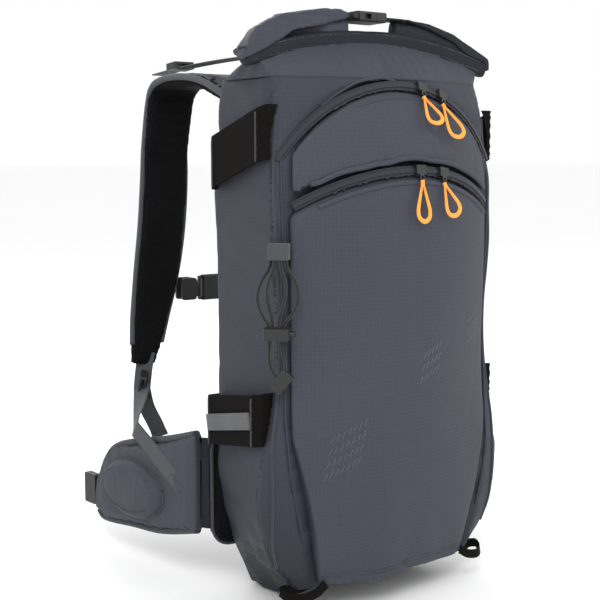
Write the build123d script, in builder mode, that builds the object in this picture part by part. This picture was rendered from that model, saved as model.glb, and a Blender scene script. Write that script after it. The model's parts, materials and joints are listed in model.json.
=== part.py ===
"""Roll-top ski-touring backpack, modelled as separate named pieces.

Frame: +Z up, +X to the right seen from the front, the front at -Y, millimetres.
The origin is the middle of the flat face under the pack that it stands on.
"""
from build123d import *
import math
import os

os.makedirs("parts", exist_ok=True)

# ---- overall sizes -------------------------------------------------------
PACK_TOP = 478.0          # height of the main sack's upper rim
BACK_Y = 20.0             # plane of the sack's back wall
SIDE_HALF = 122.0         # half width of the sack between its side panels
LOWER_SWELL = 18.0        # how far the filled base swells past the side panels
SEAM_Y = -83.0            # side-to-front seam
FRONT_SWELL = 36.0        # how far the front bulges past the seam
BASE_HALF = 86.0          # half width of the sack at its base
BASE_FLAT_Y = -15.0       # the base is flat from the back wall to here
BASE_RISE = 29.0          # and rises this much to its front edge
FABRIC = 3.0              # wall of a sewn panel
GAP = 0.5                 # clearance between neighbouring soft pieces
RUN = 0.35                # clearance beside a piece that moves
WEB = 1.8                 # thickness of webbing
WEB_NARROW = 20.0         # chest, top and adjuster webbing
WEB_HIP = 25.0            # hip webbing
DIVIDER_Y = SEAM_Y - 2.0  # flat front of the divider wall behind the front pockets
NOMINAL_TOP = 478.0       # height at which the section list below was drawn

# ---- zips: each is an arc in a tilted plane ------------------------------
ZIP_TAPE = 8.0            # width of the tape
ZIP_THICK = 1.2           # thickness of the tape
COIL_WIDTH = 3.4          # coil on the tape
COIL_HEIGHT = 1.4
ZIP_GROOVE = 1.6          # free width beside the tape
SLIDER_WIDTH = 8.0
SLIDER_LENGTH = 11.0
SLIDER_HEIGHT = 4.2

# ---- ski loops -----------------------------------------------------------
LOOP_BAND = 2.4           # thickness of the elastic band
LOOP_STAND = 8.0          # clear space between band and side panel
LOOP_WIDTH = 46.0         # height of the band
UPPER_LOOP_Z = 378.0      # lower back corner of the upper band
LOWER_LOOP_Z = 146.0      # lower back corner of the lower band
LOOP_SLOPE_UPPER = 27.0   # rise of the band from back to front
LOOP_SLOPE_LOWER = 14.0
LOOP_BACK_Y = BACK_Y - 8.0
LOOP_FRONT_Y = SEAM_Y + 8.0

# ---- shoulder straps -----------------------------------------------------
STRAP_THICK = 10.0
STRAP_X = 66.0            # middle of a strap where it hangs straight
STRAP_HALF = 28.5         # half width there
STRAP_REACH = 200.0       # from the back wall to the hanging part
STRAP_TOP = 484.0
STRAP_END_Z = 182.0
STRAP_Y = BACK_Y + STRAP_REACH
CHEST_Z = 264.0           # height of the chest strap

# ---- hip belt ------------------------------------------------------------
FIN_THICK = 11.0
FIN_LENGTH = 176.0
FIN_ROOT_X = 132.0
FIN_ROOT_Y = BACK_Y + 14.0
FIN_SPLAY = 7.0           # degrees away from straight back
FIN_TOP = 150.0
FIN_LOW = 56.0
FIN_TIP_TOP = 88.0
FIN_TIP_LOW = 32.0

# ---- roll top ------------------------------------------------------------
ROLL_Y = -54.0
ROLL_HALF = 134.0
ROLL_HIGH = 15.0
ROLL_DEEP = 15.0
ROLL_MID_Z = 512.0        # centre of the roll at its middle
ROLL_END_Z = 492.0        # and at its ends
TOP_BUCKLE_X = -5.0
TOP_BUCKLE_Z = 531.0

# ---- front panel and pocket ----------------------------------------------
FLAP_HALF = 112.0         # half width of the front panel between its zips
FLAP_CORNER_Z = 165.0     # below here the panel's sides run in to the hem
HEM_HALF = 81.0           # half width of the hem
HEM_Z = 29.0              # height of the hem
POCKET_HALF = 110.0       # half width of the upper pocket
GROOVE_SIDE = 4.5         # free width beside the front panel

# ---- hidden frame --------------------------------------------------------
SHEET_HALF = 95.0
SHEET_LOW = 30.0
SHEET_HEIGHT = 400.0
SHEET_THICK = 1.6

# ---- plastic hardware ----------------------------------------------------
BUCKLE_HALF = 19.0        # length of a buckle socket
BUCKLE_THICK = 9.0
PLUG_BODY = 11.0
PLUG_ARM = 12.0
LOCK_LENGTH = 20.0
LOCK_THICK = 7.0

# ---- pulls ---------------------------------------------------------------
PULL_WIDE = 12.0
PULL_LONG = 30.0
PULL_THICK = 1.8
UPPER_LEAN = 0.5          # forward slope of a hanging pull over the pocket
LOWER_LEAN = 0.16         # and over the front panel
UPPER_SLIDERS = (-9.5, -20.0)   # degrees along the arc
LOWER_SLIDERS = (-1.5, -11.0)

# ---- collar, pads and small straps ---------------------------------------
COLLAR_WALL = 2.5
COLLAR_FRONT_Y = SEAM_Y - 6.0
COLLAR_TOP_HALF = 95.0
COLLAR_TOP_Z = 494.0      # under the roll at the collar's upper corners
TOP_STRIP_X = 38.0        # where the right tail narrows to webbing
PAD_HALF = 105.0
PAD_LOW = 160.0
PAD_HEIGHT = 300.0
PAD_THICK = 10.0
LUMBAR_HALF = 124.5
LUMBAR_LOW = 42.0
LUMBAR_HEIGHT = 112.0
HAUL_HALF = 26.0
STRAP_BEND = 28.0
LIFTER_Y = 150.0
LIFTER_Z = 498.0
BEND_ALONG = 96.0         # where the strap's webbing reaches the fin's outer face
BEND_Z = 141.0
ANCHOR_ALONG = 20.0       # and where it is sewn down
ANCHOR_Z = 96.0
CHEST_INSET = 12.0        # how far the chest slider reaches over the strap's edge
CHEST_SLIDER = 18.0
POCKET_ALONG = 98.0       # centre of the hip pocket along the fin
POCKET_UP = 78.0          # and its height
POCKET_LENGTH = 102.0
POCKET_TALL = 58.0
POCKET_DEEP = 12.0
HIP_STUB = 22.0           # webbing past the tip of the fin
HIP_WEB_Z = 58.0
HIP_LOCK_AT = 13.0

# ---- ice-axe loops and tie-down ------------------------------------------
AXE_X = 106.0
AXE_Y = -84.0
AXE_Z = 11.0
AXE_LONG = 48.0
AXE_WIDE = 13.0
AXE_BAND = 2.2
AXE_TALL = 8.0
AXE_TURN = -25.0
BUNGEE_R = 1.5            # radius of the elastic cord
BUNGEE_OUTER = [          # along the corner, out from it, height
    (-3, 6.5, 322), (-3, 6.5, 316), (-12, 5, 304), (-16, 4, 290), (-12, 5, 276),
    (-4, 6.5, 266), (-4, 6.5, 254), (-5, 6.5, 243), (-4, 6.5, 231), (1, 6.5, 223),
    (8, 6.5, 223), (10, 6.5, 232), (7, 6.5, 243), (6, 6.5, 254), (6, 6.5, 266),
    (15, 4, 276), (21, 2, 289), (18, 3, 304), (10, 6.5, 316), (10, 6.5, 322),
]
BUNGEE_INNER = [
    (0.6, 9, 322), (0.6, 9, 315), (-5, 10, 304), (-6, 10.2, 290), (-2, 10.2, 277),
    (-1, 10.2, 266), (1, 10.2, 261), (4, 10.2, 262), (4.5, 10.2, 268), (6, 10.2, 278),
    (10.5, 10.2, 291), (10.5, 10, 304), (5.8, 9, 315), (5.8, 9, 322),
]
LOCK_AT = (1.0, 8.4, 260.0)   # cord lock: along the corner, out from it, height
LOCK_HOLE = 15.0
LOCK_WALL = 2.2
BUTTON_R = 2.8
BUTTON_TRAVEL = 2.0
PULL_TAB = (6.0, 6.5, 219.0)

# Sections of the filled sack: height, back half width, seam half width,
# seam Y and front Y.
SECTIONS = [
    (0.0, BASE_HALF, BASE_HALF - 4, SEAM_Y + 4, SEAM_Y - 0.45 * FRONT_SWELL),
    (60.0, SIDE_HALF - 12, SIDE_HALF + 0.4 * LOWER_SWELL, SEAM_Y + 3, SEAM_Y - 0.75 * FRONT_SWELL),
    (120.0, SIDE_HALF, SIDE_HALF + LOWER_SWELL, SEAM_Y + 1, SEAM_Y - 0.9 * FRONT_SWELL),
    (190.0, SIDE_HALF, SIDE_HALF + 2, SEAM_Y, SEAM_Y - FRONT_SWELL),
    (300.0, SIDE_HALF - 1, SIDE_HALF - 1, SEAM_Y, SEAM_Y - FRONT_SWELL),
    (400.0, SIDE_HALF + 1, SIDE_HALF + 2, SEAM_Y + 4, SEAM_Y - FRONT_SWELL + 3),
    (445.0, SIDE_HALF + 1, SIDE_HALF + 2, SEAM_Y + 10, SEAM_Y - FRONT_SWELL + 14),
    (478.0, SIDE_HALF - 4, SIDE_HALF - 2, SEAM_Y + 16, SEAM_Y - FRONT_SWELL + 28),
]


def export(piece, name):
    """Label a finished piece and write it as the node of that name."""
    piece.part.label = name
    export_step(piece.part, f"parts/{name}.step")


def export_mirrored(piece, name):
    """Write a piece for the wearer's near side and its mirror image."""
    piece.part.label = f"{name}_left"
    export_step(piece.part, f"parts/{name}_left.step")
    other = mirror(piece.part, about=Plane.YZ)
    other.label = f"{name}_right"
    export_step(other, f"parts/{name}_right.step")


def scale_z(z):
    """Height of a listed section on the pack's real height."""
    return z * PACK_TOP / NOMINAL_TOP


def sack_solid(inset):
    """The filled sack's outer shape, drawn inward by an inset."""
    with BuildPart() as body:
        for z, back, seam, seam_y, front_y in SECTIONS:
            with BuildSketch(Plane.XY.offset(scale_z(z))):
                with BuildLine():
                    rear = BACK_Y - inset
                    side = seam - inset
                    Polyline((-side, seam_y), (-back + inset, rear), (back - inset, rear), (side, seam_y))
                    ThreePointArc((side, seam_y), (0, front_y + inset), (-side, seam_y))
                make_face()
        loft()
    return body.part


def base_wedge(lift):
    """The space under the rising base, raised by a lift."""
    slope_y = SEAM_Y - FRONT_SWELL
    with BuildPart() as wedge:
        with BuildSketch(Plane.YZ):
            with BuildLine():
                Polyline(
                    (BACK_Y + 50, lift - 60),
                    (BACK_Y + 50, lift),
                    (BASE_FLAT_Y, lift),
                    (slope_y, lift + BASE_RISE + 9),
                    (slope_y - 60, lift + BASE_RISE + 9),
                    (slope_y - 60, lift - 60),
                    close=True,
                )
            make_face()
        extrude(amount=2 * SIDE_HALF, both=True)
    return wedge.part


class ZipArc:
    """A circular zip in a plane that leans back from the pack's front."""

    def __init__(self, top_y, top_z, side_y, side_z, half_width, cone):
        drop = top_z - side_z
        back = side_y - top_y
        sagitta = math.hypot(drop, back)
        self.radius = (half_width**2 + sagitta**2) / (2 * sagitta)
        self.half_angle = math.degrees(math.asin(half_width / self.radius))
        inward = Vector(0, back / sagitta, -drop / sagitta)
        self.axis = Vector(0, -drop / sagitta, -back / sagitta)
        self.centre = Vector(0, top_y, top_z) + inward * self.radius
        self.plane = Plane(origin=self.centre, x_dir=-inward, z_dir=Vector(1, 0, 0))
        self.spin = Axis(self.centre, self.axis)
        self.cone = cone

    def outward(self):
        """Side of the section plane that faces out of the pack."""
        return 1 if self.plane.y_dir.dot(self.axis) > 0 else -1

    def ring(self, profile_points, half_angle):
        """Revolve a closed profile, given as (across, out) points, over the arc."""
        tilt = math.radians(self.cone)
        sign = self.outward()
        points = []
        for across, out in profile_points:
            radial = self.radius + across * math.cos(tilt) + out * math.sin(tilt)
            axial = sign * (-across * math.sin(tilt) + out * math.cos(tilt))
            points.append((radial, axial))
        with BuildPart() as ring:
            with BuildSketch(self.plane):
                with BuildLine():
                    Polyline(*points, close=True)
                make_face()
            revolve(axis=self.spin, revolution_arc=2 * half_angle)
        return ring.part.rotate(self.spin, -half_angle)

    def frame_at(self, angle):
        """Plane on the tape at an angle: x across the tape, z out of it."""
        tilt = math.radians(self.cone)
        radial = self.plane.x_dir
        out = self.axis * math.cos(tilt) + radial * math.sin(tilt)
        across = radial * math.cos(tilt) - self.axis * math.sin(tilt)
        spot = Plane(origin=self.centre + radial * self.radius, x_dir=across, z_dir=out)
        pivot = Location(self.centre)
        spin = Location((0, 0, 0), tuple(self.axis), angle)
        return Plane(pivot * spin * pivot.inverse() * Location(spot))

    def cylinder(self, grow):
        """A long solid cylinder about the zip's axis."""
        with BuildPart() as solid:
            with BuildSketch(Plane(origin=self.centre, x_dir=(1, 0, 0), z_dir=self.axis)):
                Circle(self.radius + grow)
            extrude(amount=600, both=True)
        return solid.part



def front_prism(inset, low, high):
    """Front-view outline of the front panel, extruded forward from the divider."""
    wide = FLAP_HALF - inset
    hem = HEM_HALF - inset
    with BuildPart() as prism:
        with BuildSketch(Plane.XZ.offset(-DIVIDER_Y + GAP)):
            with BuildLine():
                Polyline(
                    (-hem, low), (hem, low), (wide, FLAP_CORNER_Z), (wide, high),
                    (-wide, high), (-wide, FLAP_CORNER_Z), close=True,
                )
            make_face()
        extrude(amount=200)
    return prism.part


def strip(points, width, thickness, plane):
    """A webbing strip along a polyline in a plane, its width across the plane."""
    with BuildPart() as band:
        with BuildSketch(plane):
            with BuildLine() as path:
                Polyline(*points)
            trace(path.edges(), thickness)
        extrude(amount=width / 2, both=True)
    return band.part


def buckle_socket(plane, web):
    """Female half of a side-release buckle: +x of the plane is where the plug leaves."""
    wide = web + 8
    with BuildPart(plane) as socket:
        with Locations((-BUCKLE_HALF / 2, 0, 0)):
            Box(BUCKLE_HALF, wide, BUCKLE_THICK)
        fillet(socket.edges().filter_by(lambda e: abs(e.length - BUCKLE_HALF) < 0.01), 2.5)
        with Locations((-(BUCKLE_HALF - 3) / 2 + 0.5, 0, 0)):
            Box(BUCKLE_HALF - 2, wide - 5, BUCKLE_THICK - 3.6, mode=Mode.SUBTRACT)
        with Locations((-BUCKLE_HALF / 2, 0, 0)):
            Box(7, wide + 2, BUCKLE_THICK - 4.6, mode=Mode.SUBTRACT)
        with Locations((-BUCKLE_HALF - 2.5, 0, 0)):
            Box(5, wide - 2, 4)
        with Locations((-BUCKLE_HALF - 2, 0, 0)):
            Box(2.4, web + 1, 6, mode=Mode.SUBTRACT)
    return socket.part


def buckle_plug(plane, web):
    """Male half, with a tunnel that lets it slide on its webbing."""
    wide = web + 8
    with BuildPart(plane) as plug:
        with Locations((RUN + PLUG_BODY / 2, 0, 0)):
            Box(PLUG_BODY, wide, BUCKLE_THICK)
        fillet(plug.edges().filter_by(lambda e: abs(e.length - PLUG_BODY) < 0.01), 2.5)
        arm_y = wide / 2 - 5
        for side in (-1, 1):
            with Locations((-PLUG_ARM / 2 + RUN + 1, side * arm_y, 0)):
                Box(PLUG_ARM + 2, 3.2, BUCKLE_THICK - 5)
        with Locations((0, 0, 0)):
            Box(80, web + 1, WEB + 2 * RUN, mode=Mode.SUBTRACT)
    return plug.part


def ladder_lock(plane, web):
    """A flat lock frame with a tunnel for webbing along x."""
    with BuildPart(plane) as lock:
        Box(LOCK_LENGTH, web + 7, LOCK_THICK)
        fillet(lock.edges().filter_by(Axis((0, 0, 0), tuple(plane.z_dir))), 2)
        Box(LOCK_LENGTH + 2, web + 1, WEB + 2 * RUN, mode=Mode.SUBTRACT)
    return lock.part


# ---- main sack -----------------------------------------------------------
outer = sack_solid(0)
inner = sack_solid(FABRIC)
upper_arc = ZipArc(SEAM_Y - 12, 470, SEAM_Y + 3, 405, 120, 34)
lower_arc = ZipArc(SEAM_Y - 33, 396, SEAM_Y - 6, 366, 110, 53)
groove = ZIP_TAPE / 2 + ZIP_GROOVE

with BuildPart() as hollow:
    for z, back, seam, seam_y, front_y in SECTIONS:
        half = min(back, seam) - FABRIC - 1
        with BuildSketch(Plane.XY.offset(scale_z(z))):
            with Locations((0, (DIVIDER_Y + BACK_Y) / 2)):
                Rectangle(2 * half, BACK_Y - DIVIDER_Y - 2 * FABRIC)
    loft()
    extrude(hollow.faces().sort_by(Axis.Z)[-1], amount=5)
    add(base_wedge(FABRIC), mode=Mode.SUBTRACT)

with BuildPart() as front_layer:
    add(front_prism(-GROOVE_SIDE, HEM_Z - 60, 400))
    with BuildPart(mode=Mode.PRIVATE) as arch:
        add(upper_arc.cylinder(groove))
        with Locations((0, DIVIDER_Y - 150, PACK_TOP / 2 + 100)):
            Box(4 * SIDE_HALF, 300, PACK_TOP, mode=Mode.INTERSECT)
    add(arch.part)

groove_profile = [(-groove, -ZIP_THICK - GAP), (groove, -ZIP_THICK - GAP), (groove, 12), (-groove, 12)]
with BuildPart() as main_sack:
    add(outer)
    add(base_wedge(0), mode=Mode.SUBTRACT)
    add(front_layer.part, mode=Mode.SUBTRACT)
    add(upper_arc.ring(groove_profile, upper_arc.half_angle + 1), mode=Mode.SUBTRACT)
    add(lower_arc.ring(groove_profile, lower_arc.half_angle + 1), mode=Mode.SUBTRACT)
    add(hollow.part, mode=Mode.SUBTRACT)
export(main_sack, "main_sack")
print("main_sack", main_sack.part.volume, len(main_sack.part.solids()))

with BuildPart() as frame_sheet:
    with BuildSketch(Plane.XZ.offset(-(BACK_Y - FABRIC - GAP))):
        with Locations((0, SHEET_LOW + SHEET_HEIGHT / 2)):
            RectangleRounded(2 * SHEET_HALF, SHEET_HEIGHT, 20)
    extrude(amount=SHEET_THICK)
export(frame_sheet, "frame_sheet")

# ---- front pocket and panel ----------------------------------------------
with BuildPart() as upper_pocket:
    add(outer)
    add(upper_arc.cylinder(-groove), mode=Mode.INTERSECT)
    add(lower_arc.cylinder(groove), mode=Mode.SUBTRACT)
    with Locations((0, DIVIDER_Y - GAP - 150, PACK_TOP / 2 + 100)):
        Box(2 * POCKET_HALF, 300, PACK_TOP, mode=Mode.INTERSECT)
    with BuildPart(mode=Mode.PRIVATE) as pocket_space:
        add(inner)
        add(upper_arc.cylinder(-groove - FABRIC), mode=Mode.INTERSECT)
        add(lower_arc.cylinder(groove + FABRIC), mode=Mode.SUBTRACT)
        with Locations((0, DIVIDER_Y - 100, PACK_TOP / 2 + 100)):
            Box(2 * (POCKET_HALF - FABRIC), 240, PACK_TOP, mode=Mode.INTERSECT)
    add(pocket_space.part, mode=Mode.SUBTRACT)
print("pocket", upper_pocket.part.volume, [round(s.volume) for s in upper_pocket.part.solids()])
export(upper_pocket, "upper_pocket")

with BuildPart() as front_panel:
    add(outer)
    add(front_prism(0, HEM_Z, 440), mode=Mode.INTERSECT)
    add(lower_arc.cylinder(-groove), mode=Mode.INTERSECT)
    with BuildPart(mode=Mode.PRIVATE) as panel_space:
        add(inner)
        with BuildPart(mode=Mode.PRIVATE) as shrunk:
            add(front_prism(FABRIC, HEM_Z + FABRIC, 440))
            with Locations((0, DIVIDER_Y - GAP, PACK_TOP / 2)):
                Box(2 * (HEM_HALF - FABRIC), 6, 2 * PACK_TOP, mode=Mode.ADD)
        add(shrunk.part, mode=Mode.INTERSECT)
        add(lower_arc.cylinder(-groove - FABRIC), mode=Mode.INTERSECT)
    add(panel_space.part, mode=Mode.SUBTRACT)
print("panel", front_panel.part.volume, [round(s.volume) for s in front_panel.part.solids()])
export(front_panel, "front_panel")

# ---- zips, sliders and pull loops ----------------------------------------
tape_profile = [
    (-ZIP_TAPE / 2, -ZIP_THICK), (ZIP_TAPE / 2, -ZIP_THICK), (ZIP_TAPE / 2, 0),
    (COIL_WIDTH / 2, 0), (COIL_WIDTH / 2, COIL_HEIGHT), (-COIL_WIDTH / 2, COIL_HEIGHT),
    (-COIL_WIDTH / 2, 0), (-ZIP_TAPE / 2, 0),
]


def zip_slider(arc, angle):
    """A slider that straddles the coil, with an eye plate for its pull."""
    spot = arc.frame_at(angle)
    with BuildPart(spot) as slider:
        with Locations((0, 0, RUN + SLIDER_HEIGHT / 2)):
            Box(SLIDER_WIDTH, SLIDER_LENGTH, SLIDER_HEIGHT)
        with Locations((0, 0, 0)):
            Box(COIL_WIDTH + 2 * RUN, 3 * SLIDER_LENGTH, 2 * (COIL_HEIGHT + RUN), mode=Mode.SUBTRACT)
        with Locations((-SLIDER_WIDTH / 2 - 2, 0, RUN + SLIDER_HEIGHT - 1)):
            Box(5, 5, 2)
        with Locations((-SLIDER_WIDTH / 2 - 3, 0, RUN + SLIDER_HEIGHT - 1)):
            Cylinder(1.3, 6, mode=Mode.SUBTRACT)
    return slider.part


def pull_loop(arc, angle, wide, long, lean):
    """A flat moulded pull hanging from a slider's eye, narrow at the knot."""
    spot = arc.frame_at(angle)
    eye = spot.origin - spot.x_dir * (SLIDER_WIDTH / 2 + 5.2) + spot.z_dir * (RUN + SLIDER_HEIGHT - 1)
    down = Plane(origin=eye, x_dir=(1, 0, 0), z_dir=(0, -1, lean))
    with BuildPart() as pull:
        with BuildSketch(down):
            with BuildLine():
                Polyline((-2, 0), (-2, -7), (-wide / 2, -long + 4), (-wide / 2 + 3, -long),
                         (wide / 2 - 3, -long), (wide / 2, -long + 4), (2, -7), (2, 0), close=True)
            make_face()
            with BuildLine():
                Polyline((0, -9), (-wide / 2 + 2.6, -long + 4.6), (wide / 2 - 2.6, -long + 4.6), close=True)
            make_face(mode=Mode.SUBTRACT)
        extrude(amount=PULL_THICK / 2, both=True)
    return pull.part


with BuildPart() as upper_zip:
    add(upper_arc.ring(tape_profile, upper_arc.half_angle))
export(upper_zip, "upper_zip")

with BuildPart() as lower_zip:
    add(lower_arc.ring(tape_profile, lower_arc.half_angle))
export(lower_zip, "lower_zip")

for arc_name, arc, angles, lean in (
    ("upper", upper_arc, UPPER_SLIDERS, UPPER_LEAN), ("lower", lower_arc, LOWER_SLIDERS, LOWER_LEAN),
):
    for side, angle in zip(("left", "right"), angles):
        slider = zip_slider(arc, angle)
        slider.label = f"{arc_name}_slider_{side}"
        export_step(slider, f"parts/{arc_name}_slider_{side}.step")
        pull = pull_loop(arc, angle, PULL_WIDE, PULL_LONG, lean)
        pull.label = f"{arc_name}_pull_{side}"
        export_step(pull, f"parts/{arc_name}_pull_{side}.step")
        print(arc_name, side, "hinge at", [round(v, 2) for v in arc.frame_at(angle).origin])

# ---- ski loops -----------------------------------------------------------


def ski_loop(low_z, slope, side_half):
    """An elastic band that stands off the side panel, sewn at both ends."""
    span = LOOP_BACK_Y - LOOP_FRONT_Y
    out = side_half + LOOP_STAND
    with BuildPart() as band:
        with BuildSketch(Plane.XY.offset(low_z - 10)):
            with BuildLine() as path:
                Polyline(
                    (-side_half + 8, LOOP_BACK_Y), (-out + 4, LOOP_BACK_Y), (-out, LOOP_BACK_Y - 7),
                    (-out, LOOP_FRONT_Y + 7), (-out + 4, LOOP_FRONT_Y), (-side_half + 8, LOOP_FRONT_Y),
                )
            trace(path.edges(), LOOP_BAND)
        extrude(amount=LOOP_WIDTH + slope + 30)
        with BuildSketch(Plane.YZ):
            with BuildLine():
                Polyline(
                    (LOOP_BACK_Y + 5, low_z - slope * 5 / span),
                    (LOOP_BACK_Y + 5, low_z - slope * 5 / span + LOOP_WIDTH),
                    (LOOP_FRONT_Y - 5, low_z + slope + slope * 5 / span + LOOP_WIDTH),
                    (LOOP_FRONT_Y - 5, low_z + slope + slope * 5 / span), close=True,
                )
            make_face()
        extrude(amount=-3 * SIDE_HALF, both=True, mode=Mode.INTERSECT)
        add(outer, mode=Mode.SUBTRACT)
    pieces = [s for s in band.part.solids() if s.volume > 100]
    return Part(pieces[0].wrapped) if len(pieces) == 1 else Part(Compound(pieces).wrapped)


for name, low_z, slope, side_half in (
    ("upper_ski_loop", UPPER_LOOP_Z, LOOP_SLOPE_UPPER, SIDE_HALF + 2),
    ("lower_ski_loop", LOWER_LOOP_Z, LOOP_SLOPE_LOWER, SIDE_HALF + 8),
):
    left_band = ski_loop(low_z, slope, side_half)
    left_band.label = f"{name}_left"
    export_step(left_band, f"parts/{name}_left.step")
    right_band = mirror(left_band, about=Plane.YZ)
    right_band.label = f"{name}_right"
    export_step(right_band, f"parts/{name}_right.step")
    print(name, [round(s.volume) for s in left_band.solids()])

with BuildPart() as loop_webbing:
    web_x = SIDE_HALF + 8 + LOOP_STAND + LOOP_BAND / 2 + 0.2
    for side in (-1, 1):
        with BuildSketch(Plane.YZ.offset(side * web_x)):
            with BuildLine():
                Polyline(
                    (LOOP_BACK_Y - 8, LOWER_LOOP_Z + 14), (LOOP_BACK_Y - 8, LOWER_LOOP_Z + 30),
                    (LOOP_FRONT_Y + 8, LOWER_LOOP_Z + 30 + LOOP_SLOPE_LOWER),
                    (LOOP_FRONT_Y + 8, LOWER_LOOP_Z + 14 + LOOP_SLOPE_LOWER), close=True,
                )
            make_face()
        extrude(amount=side * WEB)
export(loop_webbing, "loop_webbing")

# ---- collar and roll top -------------------------------------------------
with BuildPart() as collar:
    for shrink, z_low, z_high, kind in ((0, 0, 0, Mode.ADD), (COLLAR_WALL, -1, 1, Mode.SUBTRACT)):
        with BuildPart(mode=Mode.PRIVATE) as tent:
            with BuildSketch(Plane.XY.offset(PACK_TOP + GAP + z_low)):
                with Locations((0, (COLLAR_FRONT_Y + BACK_Y) / 2)):
                    Rectangle(2 * (SIDE_HALF - 8 - shrink), BACK_Y - COLLAR_FRONT_Y - 4 - 2 * shrink)
            with BuildSketch(Plane.XY.offset(COLLAR_TOP_Z + z_high)):
                with Locations((0, ROLL_Y)):
                    Rectangle(2 * (COLLAR_TOP_HALF - shrink), ROLL_DEEP - 4 - 1.2 * shrink)
            loft()
        add(tent.part, mode=kind)
print("collar", collar.part.volume, len(collar.part.solids()))
export(collar, "collar")

with BuildPart() as roll_top:
    with BuildSketch(Plane.XZ.offset(-ROLL_Y)):
        with BuildLine() as path:
            ThreePointArc((-ROLL_HALF, ROLL_END_Z), (0, ROLL_MID_Z), (ROLL_HALF, ROLL_END_Z))
        trace(path.edges(), ROLL_HIGH)
    extrude(amount=ROLL_DEEP / 2, both=True)
    fillet(roll_top.edges().filter_by(lambda e: e.length > ROLL_HALF), 4)
export(roll_top, "roll_top")


def tail(points, deep):
    """A folded end of the roll, drawn in front view."""
    with BuildPart() as folded:
        with BuildSketch(Plane.XZ.offset(-ROLL_Y)):
            with BuildLine():
                Polyline(*points, close=True)
            make_face()
        extrude(amount=deep / 2, both=True)
        add(roll_top.part, mode=Mode.SUBTRACT)
    return folded.part


socket_end = TOP_BUCKLE_X - BUCKLE_HALF - 5.4
web_start = TOP_BUCKLE_X + RUN + 7
roll_tail_left = tail([
    (-ROLL_HALF - 6, ROLL_END_Z - 4), (-ROLL_HALF - 5, ROLL_END_Z + 8),
    (-ROLL_HALF + 8, ROLL_END_Z + 24), (-100, TOP_BUCKLE_Z - 1),
    (socket_end - 12, TOP_BUCKLE_Z + 6), (socket_end, TOP_BUCKLE_Z + 2),
    (socket_end, TOP_BUCKLE_Z - 2), (-48, TOP_BUCKLE_Z - 7),
    (-90, ROLL_END_Z + 22), (-ROLL_HALF + 4, ROLL_END_Z),
], ROLL_DEEP + 3)
roll_tail_left.label = "roll_tail_left"
export_step(roll_tail_left, "parts/roll_tail_left.step")
print("tail left", [round(s.volume) for s in roll_tail_left.solids()])

roll_tail_right = tail([
    (ROLL_HALF + 6, ROLL_END_Z - 2), (ROLL_HALF + 5, ROLL_END_Z + 9),
    (93, TOP_BUCKLE_Z - 9), (TOP_STRIP_X + 24, TOP_BUCKLE_Z - 1),
    (TOP_STRIP_X, TOP_BUCKLE_Z + WEB / 2), (TOP_STRIP_X, TOP_BUCKLE_Z - WEB / 2),
    (TOP_STRIP_X + 24, TOP_BUCKLE_Z - 6), (93, TOP_BUCKLE_Z - 16),
    (ROLL_HALF - 4, ROLL_END_Z),
], ROLL_DEEP)
with BuildPart() as right_end:
    add(roll_tail_right)
    with Locations(((web_start + TOP_STRIP_X) / 2, ROLL_Y, TOP_BUCKLE_Z)):
        Box(TOP_STRIP_X - web_start + 0.2, WEB_NARROW, WEB)
right_end.part.label = "roll_tail_right"
export_step(right_end.part, "parts/roll_tail_right.step")
print("tail right", [round(s.volume) for s in right_end.part.solids()])

top_plane = Plane(origin=(TOP_BUCKLE_X, ROLL_Y, TOP_BUCKLE_Z), x_dir=(1, 0, 0), z_dir=(0, 0, 1))
for name, shape in (("top_buckle_socket", buckle_socket(top_plane, WEB_NARROW)),
                    ("top_buckle_plug", buckle_plug(top_plane, WEB_NARROW))):
    shape.label = name
    export_step(shape, f"parts/{name}.step")

# ---- back panel ----------------------------------------------------------
with BuildPart() as back_panel:
    with BuildSketch(Plane.XZ.offset(-BACK_Y - GAP)):
        with Locations((0, PAD_LOW + PAD_HEIGHT / 2)):
            RectangleRounded(2 * PAD_HALF, PAD_HEIGHT, 22)
    extrude(amount=-PAD_THICK)
export(back_panel, "back_panel")

with BuildPart() as lumbar_pad:
    with BuildSketch(Plane.XZ.offset(-BACK_Y - GAP)):
        with Locations((0, LUMBAR_LOW + LUMBAR_HEIGHT / 2)):
            RectangleRounded(2 * LUMBAR_HALF, LUMBAR_HEIGHT, 20)
    extrude(amount=-PAD_THICK - 4)
export(lumbar_pad, "lumbar_pad")

with BuildPart() as haul_loop:
    with BuildSketch(Plane.XZ.offset(-BACK_Y - GAP - PAD_THICK / 2)):
        with BuildLine() as path:
            haul = PolarLine((-HAUL_HALF, PAD_LOW + PAD_HEIGHT + GAP), 14, 90)
            over = ThreePointArc(haul @ 1, (0, PACK_TOP + 22), (HAUL_HALF, (haul @ 1).Y))
            Line(over @ 1, (HAUL_HALF, PAD_LOW + PAD_HEIGHT + GAP))
        trace(path.edges(), 3)
    extrude(amount=WEB_NARROW / 4, both=True)
export(haul_loop, "haul_loop")

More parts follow.
